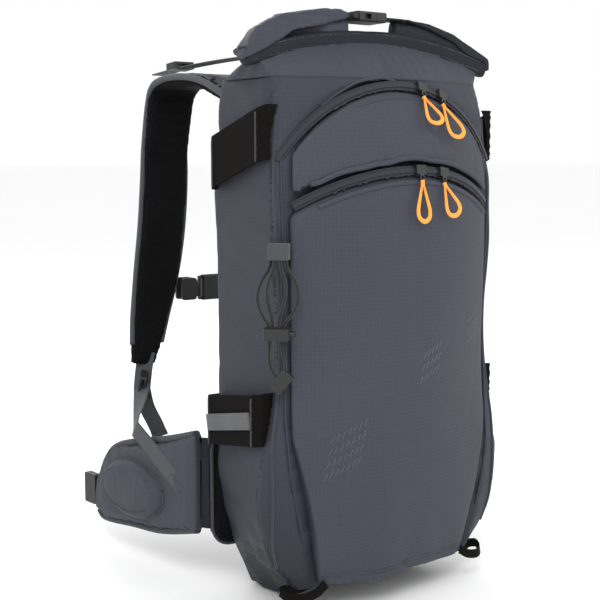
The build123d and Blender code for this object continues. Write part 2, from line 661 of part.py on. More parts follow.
# ---- shoulder straps -----------------------------------------------------
with BuildPart() as shoulder_strap:
    with BuildSketch(Plane.YZ):
        with BuildLine() as path:
            FilletPolyline(
                (BACK_Y + PAD_THICK + 3.5, STRAP_TOP - 30), (BACK_Y + 90, STRAP_TOP),
                (STRAP_Y - 20, STRAP_TOP), (STRAP_Y, STRAP_TOP - 80),
                (STRAP_Y, STRAP_END_Z + 60), (STRAP_Y - 12, STRAP_END_Z),
                radius=STRAP_BEND,
            )
        trace(path.edges(), STRAP_THICK)
    extrude(amount=-2 * STRAP_X - 20)
    with BuildSketch(Plane.XZ.offset(-2 * STRAP_Y)):
        with BuildLine():
            left_edge = Spline(
                (-STRAP_X - STRAP_HALF, STRAP_TOP + 30), (-STRAP_X - STRAP_HALF - 2, STRAP_TOP - 150),
                (-STRAP_X - STRAP_HALF - 12, STRAP_END_Z + 60), (-STRAP_X - 46, STRAP_END_Z + 6),
            )
            right_edge = Spline(
                (-STRAP_X - 20, STRAP_END_Z + 4), (-STRAP_X + 4, STRAP_END_Z + 55),
                (-STRAP_X + STRAP_HALF - 6, STRAP_END_Z + 130), (-STRAP_X + STRAP_HALF, STRAP_TOP - 90),
                (-STRAP_X + STRAP_HALF, STRAP_TOP + 30),
            )
            Line(left_edge @ 1, right_edge @ 0)
            Line(right_edge @ 1, left_edge @ 0)
        make_face()
    extrude(amount=3 * STRAP_Y, mode=Mode.INTERSECT)
print("strap", [round(s.volume) for s in shoulder_strap.part.solids()])
export_mirrored(shoulder_strap, "shoulder_strap")

with BuildPart() as load_lifters:
    for side in (-1, 1):
        add(strip([(BACK_Y + 1, LIFTER_Z - 6), (LIFTER_Y, LIFTER_Z + 5), (LIFTER_Y + 78, LIFTER_Z - 2)],
                  WEB_NARROW - 4, WEB, Plane.YZ.offset(side * STRAP_X)))
export(load_lifters, "load_lifters")

with BuildPart() as lifter_locks:
    for side in (-1, 1):
        lifter_plane = Plane(
            origin=(side * STRAP_X, LIFTER_Y + 30, LIFTER_Z + 2.2),
            x_dir=(0, 1, -0.085), z_dir=(0, 0.085, 1),
        )
        add(ladder_lock(lifter_plane, WEB_NARROW - 4))
export(lifter_locks, "lifter_locks")

strap_foot = Vector(-STRAP_X - 37, STRAP_Y - 16, STRAP_END_Z - 16)
fin_plane = Plane(
    origin=(-FIN_ROOT_X, FIN_ROOT_Y, 0),
    x_dir=(-math.sin(math.radians(FIN_SPLAY)), math.cos(math.radians(FIN_SPLAY)), 0),
    z_dir=(-math.cos(math.radians(FIN_SPLAY)), -math.sin(math.radians(FIN_SPLAY)), 0),
)
flip = 1 if fin_plane.y_dir.Z > 0 else -1
web_bend = fin_plane.from_local_coords(Vector(BEND_ALONG, flip * BEND_Z, FIN_THICK / 2 + GAP + WEB / 2))
run = web_bend - strap_foot
lock_plane = Plane(
    origin=strap_foot, x_dir=run.normalized(),
    z_dir=Vector(1, 0, 0).cross(run).cross(run).normalized(),
)
with BuildPart() as strap_lock:
    add(ladder_lock(lock_plane, WEB_NARROW))
export_mirrored(strap_lock, "strap_lock")

with BuildPart() as adjuster:
    with BuildPart(lock_plane, mode=Mode.PRIVATE) as web_run:
        with Locations((run.length / 2 - 2, 0, 0)):
            Box(run.length + 4, WEB_NARROW, WEB)
    add(web_run.part)
    with BuildSketch(fin_plane.offset(FIN_THICK / 2 + GAP)):
        with BuildLine() as path:
            Line((BEND_ALONG + 6, flip * (BEND_Z + 6)), (ANCHOR_ALONG, flip * ANCHOR_Z))
        trace(path.edges(), WEB_NARROW)
    extrude(amount=WEB)
print("adjuster", [round(s.volume) for s in adjuster.part.solids()], tuple(web_bend), tuple(strap_foot))
export_mirrored(adjuster, "adjuster_webbing")

# ---- chest strap ---------------------------------------------------------
chest_plane = Plane(origin=(0, STRAP_Y, CHEST_Z), x_dir=(1, 0, 0), z_dir=(0, -1, 0))
slider_x = STRAP_X - STRAP_HALF + CHEST_INSET
with BuildPart() as chest_slider:
    with Locations((-slider_x + CHEST_SLIDER / 2 + 1, STRAP_Y, CHEST_Z)):
        Box(CHEST_SLIDER, STRAP_THICK + 6, WEB_NARROW + 4)
    fillet(chest_slider.edges().filter_by(Axis.Y), 3)
    with Locations((-slider_x, STRAP_Y, CHEST_Z)):
        Box(2 * (CHEST_SLIDER - 5), STRAP_THICK + 2 * RUN, 60, mode=Mode.SUBTRACT)
export_mirrored(chest_slider, "chest_slider")

web_out = slider_x - CHEST_SLIDER - 1.5
with BuildPart() as chest_web_left:
    length = web_out - BUCKLE_HALF - 5.4
    with Locations((-web_out + length / 2, STRAP_Y, CHEST_Z)):
        Box(length, WEB, WEB_NARROW)
export(chest_web_left, "chest_webbing_left")
with BuildPart() as chest_web_right:
    length = web_out - PLUG_BODY / 2
    with Locations((web_out - length / 2, STRAP_Y, CHEST_Z)):
        Box(length, WEB, WEB_NARROW)
export(chest_web_right, "chest_webbing_right")
for name, shape in (("chest_buckle_socket", buckle_socket(chest_plane, WEB_NARROW)),
                    ("chest_buckle_plug", buckle_plug(chest_plane, WEB_NARROW))):
    shape.label = name
    export_step(shape, f"parts/{name}.step")
    print(name, [round(s.volume) for s in shape.solids()])

# ---- hip belt ------------------------------------------------------------
with BuildPart() as hip_fin:
    with BuildSketch(fin_plane):
        with BuildLine():
            top = Polyline((0, flip * FIN_TOP), (50, flip * (FIN_TOP - 14)), (110, flip * (FIN_TOP - 28)))
            nose = Polyline(
                (FIN_LENGTH, flip * FIN_TIP_LOW + flip * 8), (FIN_LENGTH - 16, flip * FIN_TIP_LOW),
                (60, flip * (FIN_LOW - 14)), (0, flip * FIN_LOW),
            )
            Spline(top @ 1, (FIN_LENGTH - 16, flip * (FIN_TIP_TOP + 10)), nose @ 0)
            Line(nose @ 1, top @ 0)
        make_face()
    extrude(amount=FIN_THICK / 2, both=True)
export_mirrored(hip_fin, "hip_fin")

with BuildPart() as adjuster_space:
    with BuildSketch(fin_plane.offset(FIN_THICK / 2)):
        with BuildLine() as path:
            Line((BEND_ALONG + 20, flip * (BEND_Z + 20)), (ANCHOR_ALONG - 4, flip * ANCHOR_Z))
        trace(path.edges(), WEB_NARROW + 2 * GAP)
    extrude(amount=POCKET_DEEP + 8)

with BuildPart() as hip_pocket:
    for level, share in ((0, 1.0), (0.6, 0.93), (1.0, 0.72)):
        with BuildSketch(fin_plane.offset(FIN_THICK / 2 + GAP + level * POCKET_DEEP)):
            with Locations((POCKET_ALONG, flip * POCKET_UP)):
                Ellipse(share * POCKET_LENGTH / 2, share * POCKET_TALL / 2)
    loft()
    add(adjuster_space.part, mode=Mode.SUBTRACT)
export_mirrored(hip_pocket, "hip_pocket")

with BuildPart() as hip_webbing:
    with BuildSketch(fin_plane.offset(-WEB / 2)):
        with Locations((FIN_LENGTH + HIP_STUB / 2 + 0.3, flip * HIP_WEB_Z)):
            Rectangle(HIP_STUB, WEB_HIP)
    extrude(amount=WEB)
export_mirrored(hip_webbing, "hip_webbing")

hip_lock_plane = Plane(
    origin=fin_plane.from_local_coords(Vector(FIN_LENGTH + HIP_LOCK_AT, flip * HIP_WEB_Z, 0)),
    x_dir=fin_plane.x_dir, z_dir=fin_plane.z_dir,
)
with BuildPart() as hip_lock:
    add(ladder_lock(hip_lock_plane, WEB_HIP))
export_mirrored(hip_lock, "hip_buckle")

# ---- ice-axe loops and tie-down ------------------------------------------
with BuildPart() as axe_loop:
    with BuildSketch(Plane.XY.offset(AXE_Z)):
        with Locations(Location((-AXE_X, AXE_Y, 0), AXE_TURN)):
            SlotOverall(AXE_LONG, AXE_WIDE)
            SlotOverall(AXE_LONG - 2 * AXE_BAND, AXE_WIDE - 2 * AXE_BAND, mode=Mode.SUBTRACT)
    extrude(amount=AXE_TALL)
export_mirrored(axe_loop, "axe_loop")

corner = Plane(origin=(-SIDE_HALF - 3, SEAM_Y - 2, 0), x_dir=(1, -1, 0), z_dir=(0, 0, 1))


def on_corner(along, out, z):
    """A point beside the seam: along the corner's face, out from it, and its height."""
    place = corner.origin + corner.x_dir * along - corner.y_dir * out
    return (place.X, place.Y, z)


def cord_tube(points, radius_cord):
    """A cord's plain tube: straight runs joined by arcs as large as they allow."""
    radii = []
    for before, here, after in zip(points, points[1:], points[2:]):
        one, two = Vector(here) - Vector(before), Vector(after) - Vector(here)
        turn = math.radians(one.get_angle(two))
        radii.append(0.45 * min(one.length, two.length) / math.tan(turn / 2))
    with BuildPart() as tube:
        with BuildLine() as route:
            FilletPolyline(*points, radius=radii)
        with BuildSketch(Plane(origin=route.line @ 0, z_dir=route.line % 0)):
            Circle(radius_cord)
        sweep()
    length = sum(edge.length for edge in route.line.edges())
    expected = math.pi * radius_cord**2 * length
    print("cord length", round(length, 1), "volume ratio", round(tube.part.volume / expected, 4))
    print("  radii", [round(r, 1) for r in radii])
    return tube.part


def corner_plane(along, out, z, turn=0.0):
    """A plane beside the seam: x along the corner's face, y out of the pack, z up."""
    return Plane(Location(Plane(origin=on_corner(along, out, z), x_dir=corner.x_dir, z_dir=(0, 0, 1)))
                 * Location((0, 0, 0), (0, turn, 0)))


for name, points in (("bungee_outer", BUNGEE_OUTER), ("bungee_inner", BUNGEE_INNER)):
    route_points = [on_corner(*point) for point in points]
    tube = cord_tube(route_points, BUNGEE_R)
    tube.label = name
    export_step(tube, f"parts/{name}.step")
    print("  route", [tuple(round(v, 1) for v in p) for p in route_points])

with BuildPart() as bungee_tab:
    with BuildPart(corner_plane(3.5, 5.5, 322 + 7), mode=Mode.PRIVATE) as tab_block:
        Box(18, 12, 14)
    add(tab_block.part)
    add(outer, mode=Mode.SUBTRACT)
export(bungee_tab, "bungee_tab")

button_x = LOCK_HOLE / 2 + LOCK_WALL
with BuildPart(corner_plane(*LOCK_AT)) as cord_lock:
    with Locations((1.4, 0, 0)):
        Box(LOCK_HOLE + 2 * LOCK_WALL + 2.8, 13.6, 10)
    fillet(cord_lock.edges().filter_by(Axis.Z), 3)
    Box(LOCK_HOLE, 13.6 - 2 * LOCK_WALL, 12, mode=Mode.SUBTRACT)
    with Locations(Location((button_x + 4, 0, 0), (0, 90, 0))):
        Cylinder(BUTTON_R + RUN, 8, mode=Mode.SUBTRACT)
export(cord_lock, "cord_lock")
with BuildPart(corner_plane(*LOCK_AT)) as lock_button:
    with Locations(Location((button_x + BUTTON_TRAVEL + 0.4 + 2.5, 0, 0), (0, 90, 0))):
        Cylinder(BUTTON_R, 5)
export(lock_button, "lock_button")
with BuildPart(corner_plane(*PULL_TAB, turn=40)) as pull_tab:
    Box(12, 5, 20)
    fillet(pull_tab.edges().filter_by(lambda e: abs(e.length - 5) < 0.01), 2)
export(pull_tab, "pull_tab")
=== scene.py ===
"""Ski touring backpack: sewn fabric, webbing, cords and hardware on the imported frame."""
from __future__ import annotations

import json
import logging
import math
from dataclasses import dataclass
from enum import Enum
from typing import Callable, Iterable, Sequence

import bpy
import numpy as np
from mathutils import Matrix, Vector, noise
from mathutils.bvhtree import BVHTree

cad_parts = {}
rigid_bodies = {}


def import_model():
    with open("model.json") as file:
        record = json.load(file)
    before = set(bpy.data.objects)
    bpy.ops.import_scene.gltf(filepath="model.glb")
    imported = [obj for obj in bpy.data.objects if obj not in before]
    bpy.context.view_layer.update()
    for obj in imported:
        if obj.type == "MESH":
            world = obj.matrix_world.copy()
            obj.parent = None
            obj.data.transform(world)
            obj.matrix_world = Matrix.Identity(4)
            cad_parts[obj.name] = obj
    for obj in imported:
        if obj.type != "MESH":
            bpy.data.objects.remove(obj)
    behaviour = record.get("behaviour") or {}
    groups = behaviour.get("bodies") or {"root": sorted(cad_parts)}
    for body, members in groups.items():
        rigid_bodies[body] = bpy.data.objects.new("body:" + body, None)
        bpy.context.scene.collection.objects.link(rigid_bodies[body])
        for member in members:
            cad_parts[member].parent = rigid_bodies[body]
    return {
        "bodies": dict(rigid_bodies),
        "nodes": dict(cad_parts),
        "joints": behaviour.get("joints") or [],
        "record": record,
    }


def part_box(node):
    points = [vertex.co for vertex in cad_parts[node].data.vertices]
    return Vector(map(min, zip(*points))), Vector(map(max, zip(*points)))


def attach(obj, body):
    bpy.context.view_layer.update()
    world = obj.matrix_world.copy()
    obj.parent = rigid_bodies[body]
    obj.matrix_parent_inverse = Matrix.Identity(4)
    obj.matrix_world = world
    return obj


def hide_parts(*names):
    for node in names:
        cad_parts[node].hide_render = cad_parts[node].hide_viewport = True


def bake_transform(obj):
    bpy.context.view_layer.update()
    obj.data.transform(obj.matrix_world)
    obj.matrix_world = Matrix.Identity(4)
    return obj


LOG = logging.getLogger("backpack")
MM = 0.001
RIM_Z = 0.4762  # level at which the sack's skin ends and the collar begins
AXIS_Y = -0.030  # Y of the upright axis that the sack's rays are cast from
LOOK_IN = 0.6  # how far outside the pack a ray starts
BACKWARD = np.array([0.0, 1.0, 0.0])
Colour = tuple[float, float, float]
Row = tuple[np.ndarray, np.ndarray]
FRAME: dict = {}


class Side(Enum):
    """The two sides of the pack, as signs along X."""

    LEFT = -1
    RIGHT = 1

    @property
    def word(self) -> str:
        """Lower-case name used in node names."""
        return self.name.lower()


# --------------------------------------------------------------------------
# Shader building
# --------------------------------------------------------------------------


class Sock:
    """A shader socket that takes part in Python arithmetic."""

    def __init__(self, shader: "Shader", socket: bpy.types.NodeSocket) -> None:
        """Wrap one output socket of a shader's node tree."""
        self.shader = shader
        self.socket = socket

    def _math(self, operation: str, *values: "Sock | float") -> "Sock":
        """Add one Math node over the given values."""
        return self.shader.node("ShaderNodeMath", {"operation": operation}, dict(enumerate(values)))

    def __add__(self, other: "Sock | float") -> "Sock":
        """Sum."""
        return self._math("ADD", self, other)

    def __sub__(self, other: "Sock | float") -> "Sock":
        """Difference."""
        return self._math("SUBTRACT", self, other)

    def __rsub__(self, other: "Sock | float") -> "Sock":
        """Difference with a number first."""
        return self._math("SUBTRACT", other, self)

    def __mul__(self, other: "Sock | float") -> "Sock":
        """Product."""
        return self._math("MULTIPLY", self, other)

    def power(self, exponent: float) -> "Sock":
        """Raise to a power."""
        return self._math("POWER", self, exponent)

    def below(self, limit: float) -> "Sock":
        """One where the value is below a limit."""
        return self._math("LESS_THAN", self, limit)

    def at_least(self, other: "Sock | float") -> "Sock":
        """The larger of two values."""
        return self._math("MAXIMUM", self, other)

    def wave(self) -> "Sock":
        """Sine of the value."""
        return self._math("SINE", self)

    def size(self) -> "Sock":
        """Absolute value."""
        return self._math("ABSOLUTE", self)

    def part(self) -> "Sock":
        """Fractional part."""
        return self._math("FRACT", self)


class Shader:
    """A material and the few node idioms that the finishes share."""

    def __init__(self, name: str, sheen: float = 0.0, specular: float = 0.5) -> None:
        """Start a principled material.

        Args:
            name: material name.
            sheen: uniform sheen weight.
            specular: uniform specular level.
        """
        self.material = bpy.data.materials.new(name)
        self.material.use_nodes = True
        self.tree = self.material.node_tree
        self.bsdf = self.tree.nodes["Principled BSDF"]
        self.bsdf.inputs["Sheen Weight"].default_value = sheen
        self.bsdf.inputs["Sheen Roughness"].default_value = 0.45
        self.bsdf.inputs["Specular IOR Level"].default_value = specular

    def node(self, kind: str, settings: dict, values: dict, output: int | str = 0) -> Sock:
        """Add a node.

        Args:
            kind: node type.
            settings: attributes set before the sockets.
            values: numbers, colours or Sock links by input.
            output: which output to return.

        Returns:
            The wrapped output socket.
        """
        made = self.tree.nodes.new(kind)
        for key, value in settings.items():
            setattr(made, key, value)
        for key, value in values.items():
            if isinstance(value, Sock):
                self.tree.links.new(value.socket, made.inputs[key])
            else:
                made.inputs[key].default_value = value
        return Sock(self, made.outputs[output])

    def object_place(self) -> Sock:
        """Object coordinates, in metres."""
        return self.node("ShaderNodeTexCoord", {}, {}, "Object")

    def uv(self) -> tuple[Sock, Sock]:
        """The piece's own UV map, in metres: across and along."""
        across, along, _ = self.split(self.node("ShaderNodeUVMap", {}, {}))
        return across, along

    def split(self, place: Sock) -> tuple[Sock, ...]:
        """The three parts of a vector."""
        parted = self.node("ShaderNodeSeparateXYZ", {}, {0: place})
        return tuple(Sock(self, output) for output in parted.socket.node.outputs)

    def grain(self, scale: float, detail: float = 4.0, place: Sock | None = None) -> Sock:
        """Noise value over the surface."""
        source = place or self.object_place()
        return self.node("ShaderNodeTexNoise", {}, {"Vector": source, "Scale": scale, "Detail": detail})

    def blend_colour(self, factor: Sock | float, low: Colour | Sock, high: Colour | Sock) -> Sock:
        """Mix two colours."""
        ends = {
            index: end if isinstance(end, Sock) else (*end, 1.0) for index, end in ((6, low), (7, high))
        }
        return self.node("ShaderNodeMix", {"data_type": "RGBA"}, {0: factor, **ends}, 2)

    def finish(self, colour: Sock, roughness: Sock | float, height: Sock | None, depth: float) -> None:
        """Join colour, roughness and relief to the shader.

        Args:
            colour: base colour.
            roughness: one value or a varying one.
            height: relief, if there is any.
            depth: how deep the relief is, in metres.
        """
        self.tree.links.new(colour.socket, self.bsdf.inputs["Base Color"])
        if isinstance(roughness, Sock):
            self.tree.links.new(roughness.socket, self.bsdf.inputs["Roughness"])
        else:
            self.bsdf.inputs["Roughness"].default_value = roughness
        if height is not None:
            bump = self.node("ShaderNodeBump", {}, {"Strength": 1.0, "Distance": depth, "Height": height})
            self.tree.links.new(bump.socket, self.bsdf.inputs["Normal"])


@dataclass(frozen=True)
class Ripstop:
    """Woven nylon with a raised square grid of heavier threads."""

    name: str
    base: Colour
    light: Colour
    pitch: float = 3.4 * MM
    thread: float = 0.34 * MM
    # When set, painted shade darkens the cloth towards its bottom.
    fade: bool = False
    gloss: float = 0.25

    def build(self) -> bpy.types.Material:
        """Make the material."""
        shader = Shader(self.name, sheen=0.0, specular=self.gloss)
        across, along = shader.uv()
        lines = None
        for axis in (across, along):
            cell = (axis * (1 / self.pitch)).part() - 0.5
            line = (cell.size() * -1 + 0.5).below(self.thread / self.pitch)
            lines = line if lines is None else lines.at_least(line)
        weave = (across * (math.tau / (0.55 * MM))).wave() * (along * (math.tau / (0.55 * MM))).wave()
        broad = shader.grain(9.0, 6.0)
        fine = shader.grain(260.0, 2.0)
        tone = shader.blend_colour(broad, self.base, self.light)
        threads = shader.blend_colour(lines * 0.16, tone, tuple(min(1, 1.7 * c) for c in self.light))
        speckle = shader.blend_colour(fine * 0.35, threads, tuple(0.6 * c for c in self.base))
        # Painted shade: below 0.16 m in object Z the colour darkens towards 0.45 of the base colour, more
        # so towards the bottom.
        if self.fade:
            low_shade_mix = (0.16 - shader.split(shader.object_place())[2]).at_least(0.0) * 4.2
            speckle = shader.blend_colour(low_shade_mix, speckle, tuple(0.45 * c for c in self.base))
        rough = broad * 0.16 + 0.50
        height = lines * 0.5 + weave * 0.22 + fine * 0.3
        shader.finish(speckle, rough, height, 0.12 * MM)
        return shader.material


@dataclass(frozen=True)
class Ribbed:
    """Webbing or elastic: ribs that run along the band, with worn edges."""

    name: str
    base: Colour
    light: Colour
    ribs: float = 1.15 * MM
    cross: float = 1.0 * MM
    rough: float = 0.62
    sheen: float = 0.15

    def build(self) -> bpy.types.Material:
        """Make the material."""
        shader = Shader(self.name, sheen=self.sheen, specular=0.12)
        across, along = shader.uv()
        rib = (across * (math.tau / self.ribs)).wave() * 0.5 + 0.5
        weft = (along * (math.tau / self.cross) + rib * 3.1).wave() * 0.5 + 0.5
        wear = shader.grain(35.0, 4.0)
        shade = rib * 0.4 + weft * 0.25 + wear * 0.5
        colour = shader.blend_colour(shade, self.base, self.light)
        shader.finish(colour, wear * 0.12 + self.rough, rib * 0.7 + weft * 0.5, 0.22 * MM)
        return shader.material


@dataclass(frozen=True)
class SpacerMesh:
    """Knitted spacer mesh with small round openings."""

    name: str
    base: Colour
    light: Colour
    pitch: float = 3.0 * MM

    def build(self) -> bpy.types.Material:
        """Make the material."""
        shader = Shader(self.name, specular=0.06)
        place = shader.object_place()
        cells = shader.node(
            "ShaderNodeTexVoronoi", {"feature": "F1"},
            {"Vector": place, "Scale": 1 / self.pitch, "Randomness": 0.25},
        )
        hole = cells.power(1.4)
        wear = shader.grain(40.0)
        colour = shader.blend_colour(hole * 0.9 + wear * 0.2, self.base, self.light)
        shader.finish(colour, wear * 0.15 + 0.68, hole, 0.5 * MM)
        return shader.material


@dataclass(frozen=True)
class Moulded:
    """Injection-moulded plastic or rubber with a fine texture and rubbed edges."""

    name: str
    base: Colour
    light: Colour
    rough: float = 0.42
    coat: float = 0.0

    def build(self) -> bpy.types.Material:
        """Make the material."""
        shader = Shader(self.name, specular=0.5)
        shader.bsdf.inputs["Coat Weight"].default_value = self.coat
        fine = shader.grain(900.0, 2.0)
        broad = shader.grain(60.0, 4.0)
        colour = shader.blend_colour(broad * 0.7, self.base, self.light)
        shader.finish(colour, broad * 0.18 + self.rough, fine, 0.06 * MM)
        return shader.material


@dataclass(frozen=True)
class Braid:
    """Braided cord sheath."""

    name: str
    base: Colour
    light: Colour

    def build(self) -> bpy.types.Material:
        """Make the material."""
        shader = Shader(self.name, sheen=0.2, specular=0.3)
        across, along = shader.uv()
        left = (across * 9.0 + along * (math.tau / (2.2 * MM))).wave()
        right = (across * 9.0 - along * (math.tau / (2.2 * MM))).wave()
        plait = (left * right) * 0.5 + 0.5
        wear = shader.grain(80.0)
        colour = shader.blend_colour(plait * 0.6 + wear * 0.2, self.base, self.light)
        shader.finish(colour, wear * 0.1 + 0.6, plait, 0.25 * MM)
        return shader.material


class Finishes:
    """All the finishes of the pack, made once."""

    def __init__(self) -> None:
        """Build every material."""
        self.shell = Ripstop("slate_ripstop", (0.036, 0.038, 0.052), (0.054, 0.057, 0.076)).build()
        # The side cloth carries painted shade that darkens it towards the bottom.
        self.side = Ripstop("side_ripstop", (0.026, 0.028, 0.041), (0.041, 0.044, 0.061), fade=True).build()
        self.dark = Ripstop("base_nylon", (0.015, 0.016, 0.021), (0.026, 0.028, 0.036), gloss=0.1).build()
        self.webbing = Ribbed("grey_webbing", (0.036, 0.039, 0.043), (0.085, 0.089, 0.097)).build()
        self.binding = Ribbed(
            "grey_binding", (0.028, 0.030, 0.038), (0.056, 0.060, 0.070), 0.9 * MM, 1.3 * MM
        ).build()
        self.reflective = Ribbed(
            "reflective_webbing", (0.04, 0.042, 0.047), (0.13, 0.132, 0.14), 1.6 * MM, 1.9 * MM, 0.45
        ).build()
        self.elastic = Ribbed(
            "black_elastic", (0.0015, 0.0013, 0.001), (0.006, 0.005, 0.0045), 1.3 * MM, 1.6 * MM, 0.85, 0.0
        ).build()
        self.mesh = SpacerMesh("spacer_mesh", (0.007, 0.007, 0.008), (0.0012, 0.0012, 0.0014)).build()
        self.plastic = Moulded("black_acetal", (0.006, 0.006, 0.0065), (0.016, 0.016, 0.017)).build()
        self.orange = Moulded("orange_pull", (0.92, 0.30, 0.030), (1.0, 0.42, 0.06), 0.45).build()
        self.cord = Braid("black_cord", (0.004, 0.004, 0.004), (0.022, 0.022, 0.023)).build()
        self.tape = Ribbed(
            "zip_tape", (0.022, 0.023, 0.030), (0.036, 0.038, 0.048), 0.7 * MM, 0.9 * MM
        ).build()
        self.coil = Moulded("zip_coil", (0.020, 0.020, 0.024), (0.04, 0.04, 0.046), 0.35).build()
        self.thread = Moulded("thread", (0.06, 0.063, 0.072), (0.10, 0.104, 0.115), 0.6).build()
        self.dark_thread = Moulded("dark_thread", (0.020, 0.021, 0.026), (0.035, 0.036, 0.042), 0.6).build()
        self.sheet = Moulded("frame_sheet", (0.55, 0.55, 0.53), (0.62, 0.62, 0.60), 0.4).build()
        self.print = Moulded("tone_print", (0.062, 0.065, 0.080), (0.070, 0.073, 0.090), 0.38).build()


# --------------------------------------------------------------------------
# Mesh helpers
# --------------------------------------------------------------------------


def deselect() -> None:
    """Clear the selection before an operator."""
    for item in bpy.context.selected_objects:
        item.select_set(False)


def activate(piece: bpy.types.Object) -> None:
    """Select one piece alone and make it active."""
    deselect()
    piece.select_set(True)
    bpy.context.view_layer.objects.active = piece


def make_piece(
    name: str, points: np.ndarray, faces: Sequence[Sequence[int]], uvs: np.ndarray | None = None
) -> bpy.types.Object:
    """Make a mesh piece at the origin from its points.

    Args:
        name: piece name.
        points: vertex places in metres.
        faces: vertex indices of each face.
        uvs: one UV, in metres, for each vertex.

    Returns:
        The new object.
    """
    mesh = bpy.data.meshes.new(name)
    mesh.from_pydata([tuple(p) for p in points], [], [tuple(f) for f in faces])
    mesh.update()
    if uvs is not None:
        layer = mesh.uv_layers.new(name="cloth")
        index = np.zeros(len(mesh.loops), dtype=np.int64)
        mesh.loops.foreach_get("vertex_index", index)
        layer.data.foreach_set("uv", np.asarray(uvs, dtype=np.float32)[index].ravel())
    for polygon in mesh.polygons:
        polygon.use_smooth = True
    piece = bpy.data.objects.new(name, mesh)
    bpy.context.collection.objects.link(piece)
    return piece


def apply_modifiers(piece: bpy.types.Object) -> None:
    """Apply every modifier of a piece in order."""
    activate(piece)
    for modifier in list(piece.modifiers):
        bpy.ops.object.modifier_apply(modifier=modifier.name)


def points_of(piece: bpy.types.Object) -> np.ndarray:
    """Vertex places of a piece."""
    mesh = piece.data
    flat = np.zeros(len(mesh.vertices) * 3, dtype=np.float32)
    mesh.vertices.foreach_get("co", flat)
    return flat.reshape(-1, 3).astype(np.float64)


def normals_of(piece: bpy.types.Object) -> np.ndarray:
    """Vertex normals of a piece."""
    mesh = piece.data
    flat = np.zeros(len(mesh.vertices) * 3, dtype=np.float32)
    mesh.vertices.foreach_get("normal", flat)
    return flat.reshape(-1, 3).astype(np.float64)


def set_points(piece: bpy.types.Object, points: np.ndarray) -> None:
    """Move a piece's vertices."""
    piece.data.vertices.foreach_set("co", points.astype(np.float32).ravel())
    piece.data.update()


def box_uv(piece: bpy.types.Object) -> None:
    """Give a piece a UV map in metres, laid flat from its three main directions."""
    mesh = piece.data
    layer = mesh.uv_layers.get("cloth") or mesh.uv_layers.new(name="cloth")
    places = points_of(piece)
    uvs = np.zeros((len(mesh.loops), 2), dtype=np.float32)
    for polygon in mesh.polygons:
        normal = [abs(value) for value in polygon.normal]
        drop = normal.index(max(normal))
        keep = [axis for axis in (0, 1, 2) if axis != drop]
        for loop in polygon.loop_indices:
            place = places[mesh.loops[loop].vertex_index]
            uvs[loop] = (place[keep[0]], place[keep[1]])
    layer.data.foreach_set("uv", uvs.ravel())


def copy_of_node(name: str, node: str) -> bpy.types.Object:
    """A merged copy of a CAD node's mesh as a new piece."""
    source = bpy.data.objects[node]
    mesh = source.data.copy()
    piece = bpy.data.objects.new(name, mesh)
    bpy.context.collection.objects.link(piece)
    mesh.materials.clear()
    activate(piece)
    bpy.ops.object.mode_set(mode="EDIT")
    bpy.ops.mesh.select_all(action="SELECT")
    bpy.ops.mesh.remove_doubles(threshold=1e-5)
    bpy.ops.object.mode_set(mode="OBJECT")
    return piece


def remesh(piece: bpy.types.Object, voxel: float, smooth: int) -> None:
    """Voxel remesh a piece and relax its corners."""
    modifier = piece.modifiers.new("remesh", "REMESH")
    modifier.mode = "VOXEL"
    modifier.voxel_size = voxel
    modifier.use_smooth_shade = True
    relax = piece.modifiers.new("relax", "SMOOTH")
    relax.iterations = smooth
    relax.factor = 0.5
    apply_modifiers(piece)


def dress(
    piece: bpy.types.Object, material: bpy.types.Material, body: str, slot: str, *nodes: str
) -> bpy.types.Object:
    """Finish a piece, attach it to its body and hide the CAD nodes that it stands for.

    Args:
        piece: the piece.
        material: its finish.
        body: the body that it rides on.
        slot: its material slot in the record; not used.
        nodes: the CAD nodes that it stands for.

    Returns:
        The same piece.
    """
    piece.data.materials.clear()
    piece.data.materials.append(material)
    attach(piece, body)
    if nodes:
        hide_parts(*nodes)
    LOG.info("piece %s on %s", piece.name, body)
    return piece


def smooth_path(points: Sequence[Sequence[float]], count: int) -> np.ndarray:
    """A Catmull-Rom path through points, evenly spaced by length.

    Args:
        points: what the path goes through.
        count: how many points it gets.

    Returns:
        The path.
    """
    known = np.asarray(points, dtype=float)
    padded = np.vstack([2 * known[0] - known[1], known, 2 * known[-1] - known[-2]])
    dense = []
    for index in range(1, len(padded) - 2):
        a, b, c, d = padded[index - 1 : index + 3]
        for step in range(24):
            t = step / 24
            straight, curved = 2 * b + (c - a) * t, 2 * a - 5 * b + 4 * c - d
            dense.append(0.5 * (straight + curved * t**2 + (3 * b - a - 3 * c + d) * t**3))
    dense.append(padded[-2])
    return even_path(np.array(dense), count)


def even_path(dense: np.ndarray, count: int) -> np.ndarray:
    """Resample a path at even lengths."""
    steps = np.linalg.norm(np.diff(dense, axis=0), axis=1)
    travel = np.concatenate([[0], np.cumsum(steps)])
    wanted = np.linspace(0, travel[-1], count)
    return np.stack([np.interp(wanted, travel, dense[:, axis]) for axis in range(dense.shape[1])], axis=1)


def tangents(path: np.ndarray) -> np.ndarray:
    """Unit tangents of a path."""
    steps = np.gradient(path, axis=0)
    return steps / np.linalg.norm(steps, axis=1, keepdims=True)


def unit(vectors: np.ndarray) -> np.ndarray:
    """Vectors at length one."""
    return vectors / np.maximum(np.linalg.norm(vectors, axis=-1, keepdims=True), 1e-12)


def ring_faces(rows: int, columns: int) -> list[tuple[int, ...]]:
    """Quads between neighbouring rings of points."""
    faces = []
    for base in range(0, rows * columns, columns):
        for column in range(columns):
            nxt = (column + 1) % columns
            faces.append((base + column, base + nxt, base + columns + nxt, base + columns + column))
    return faces


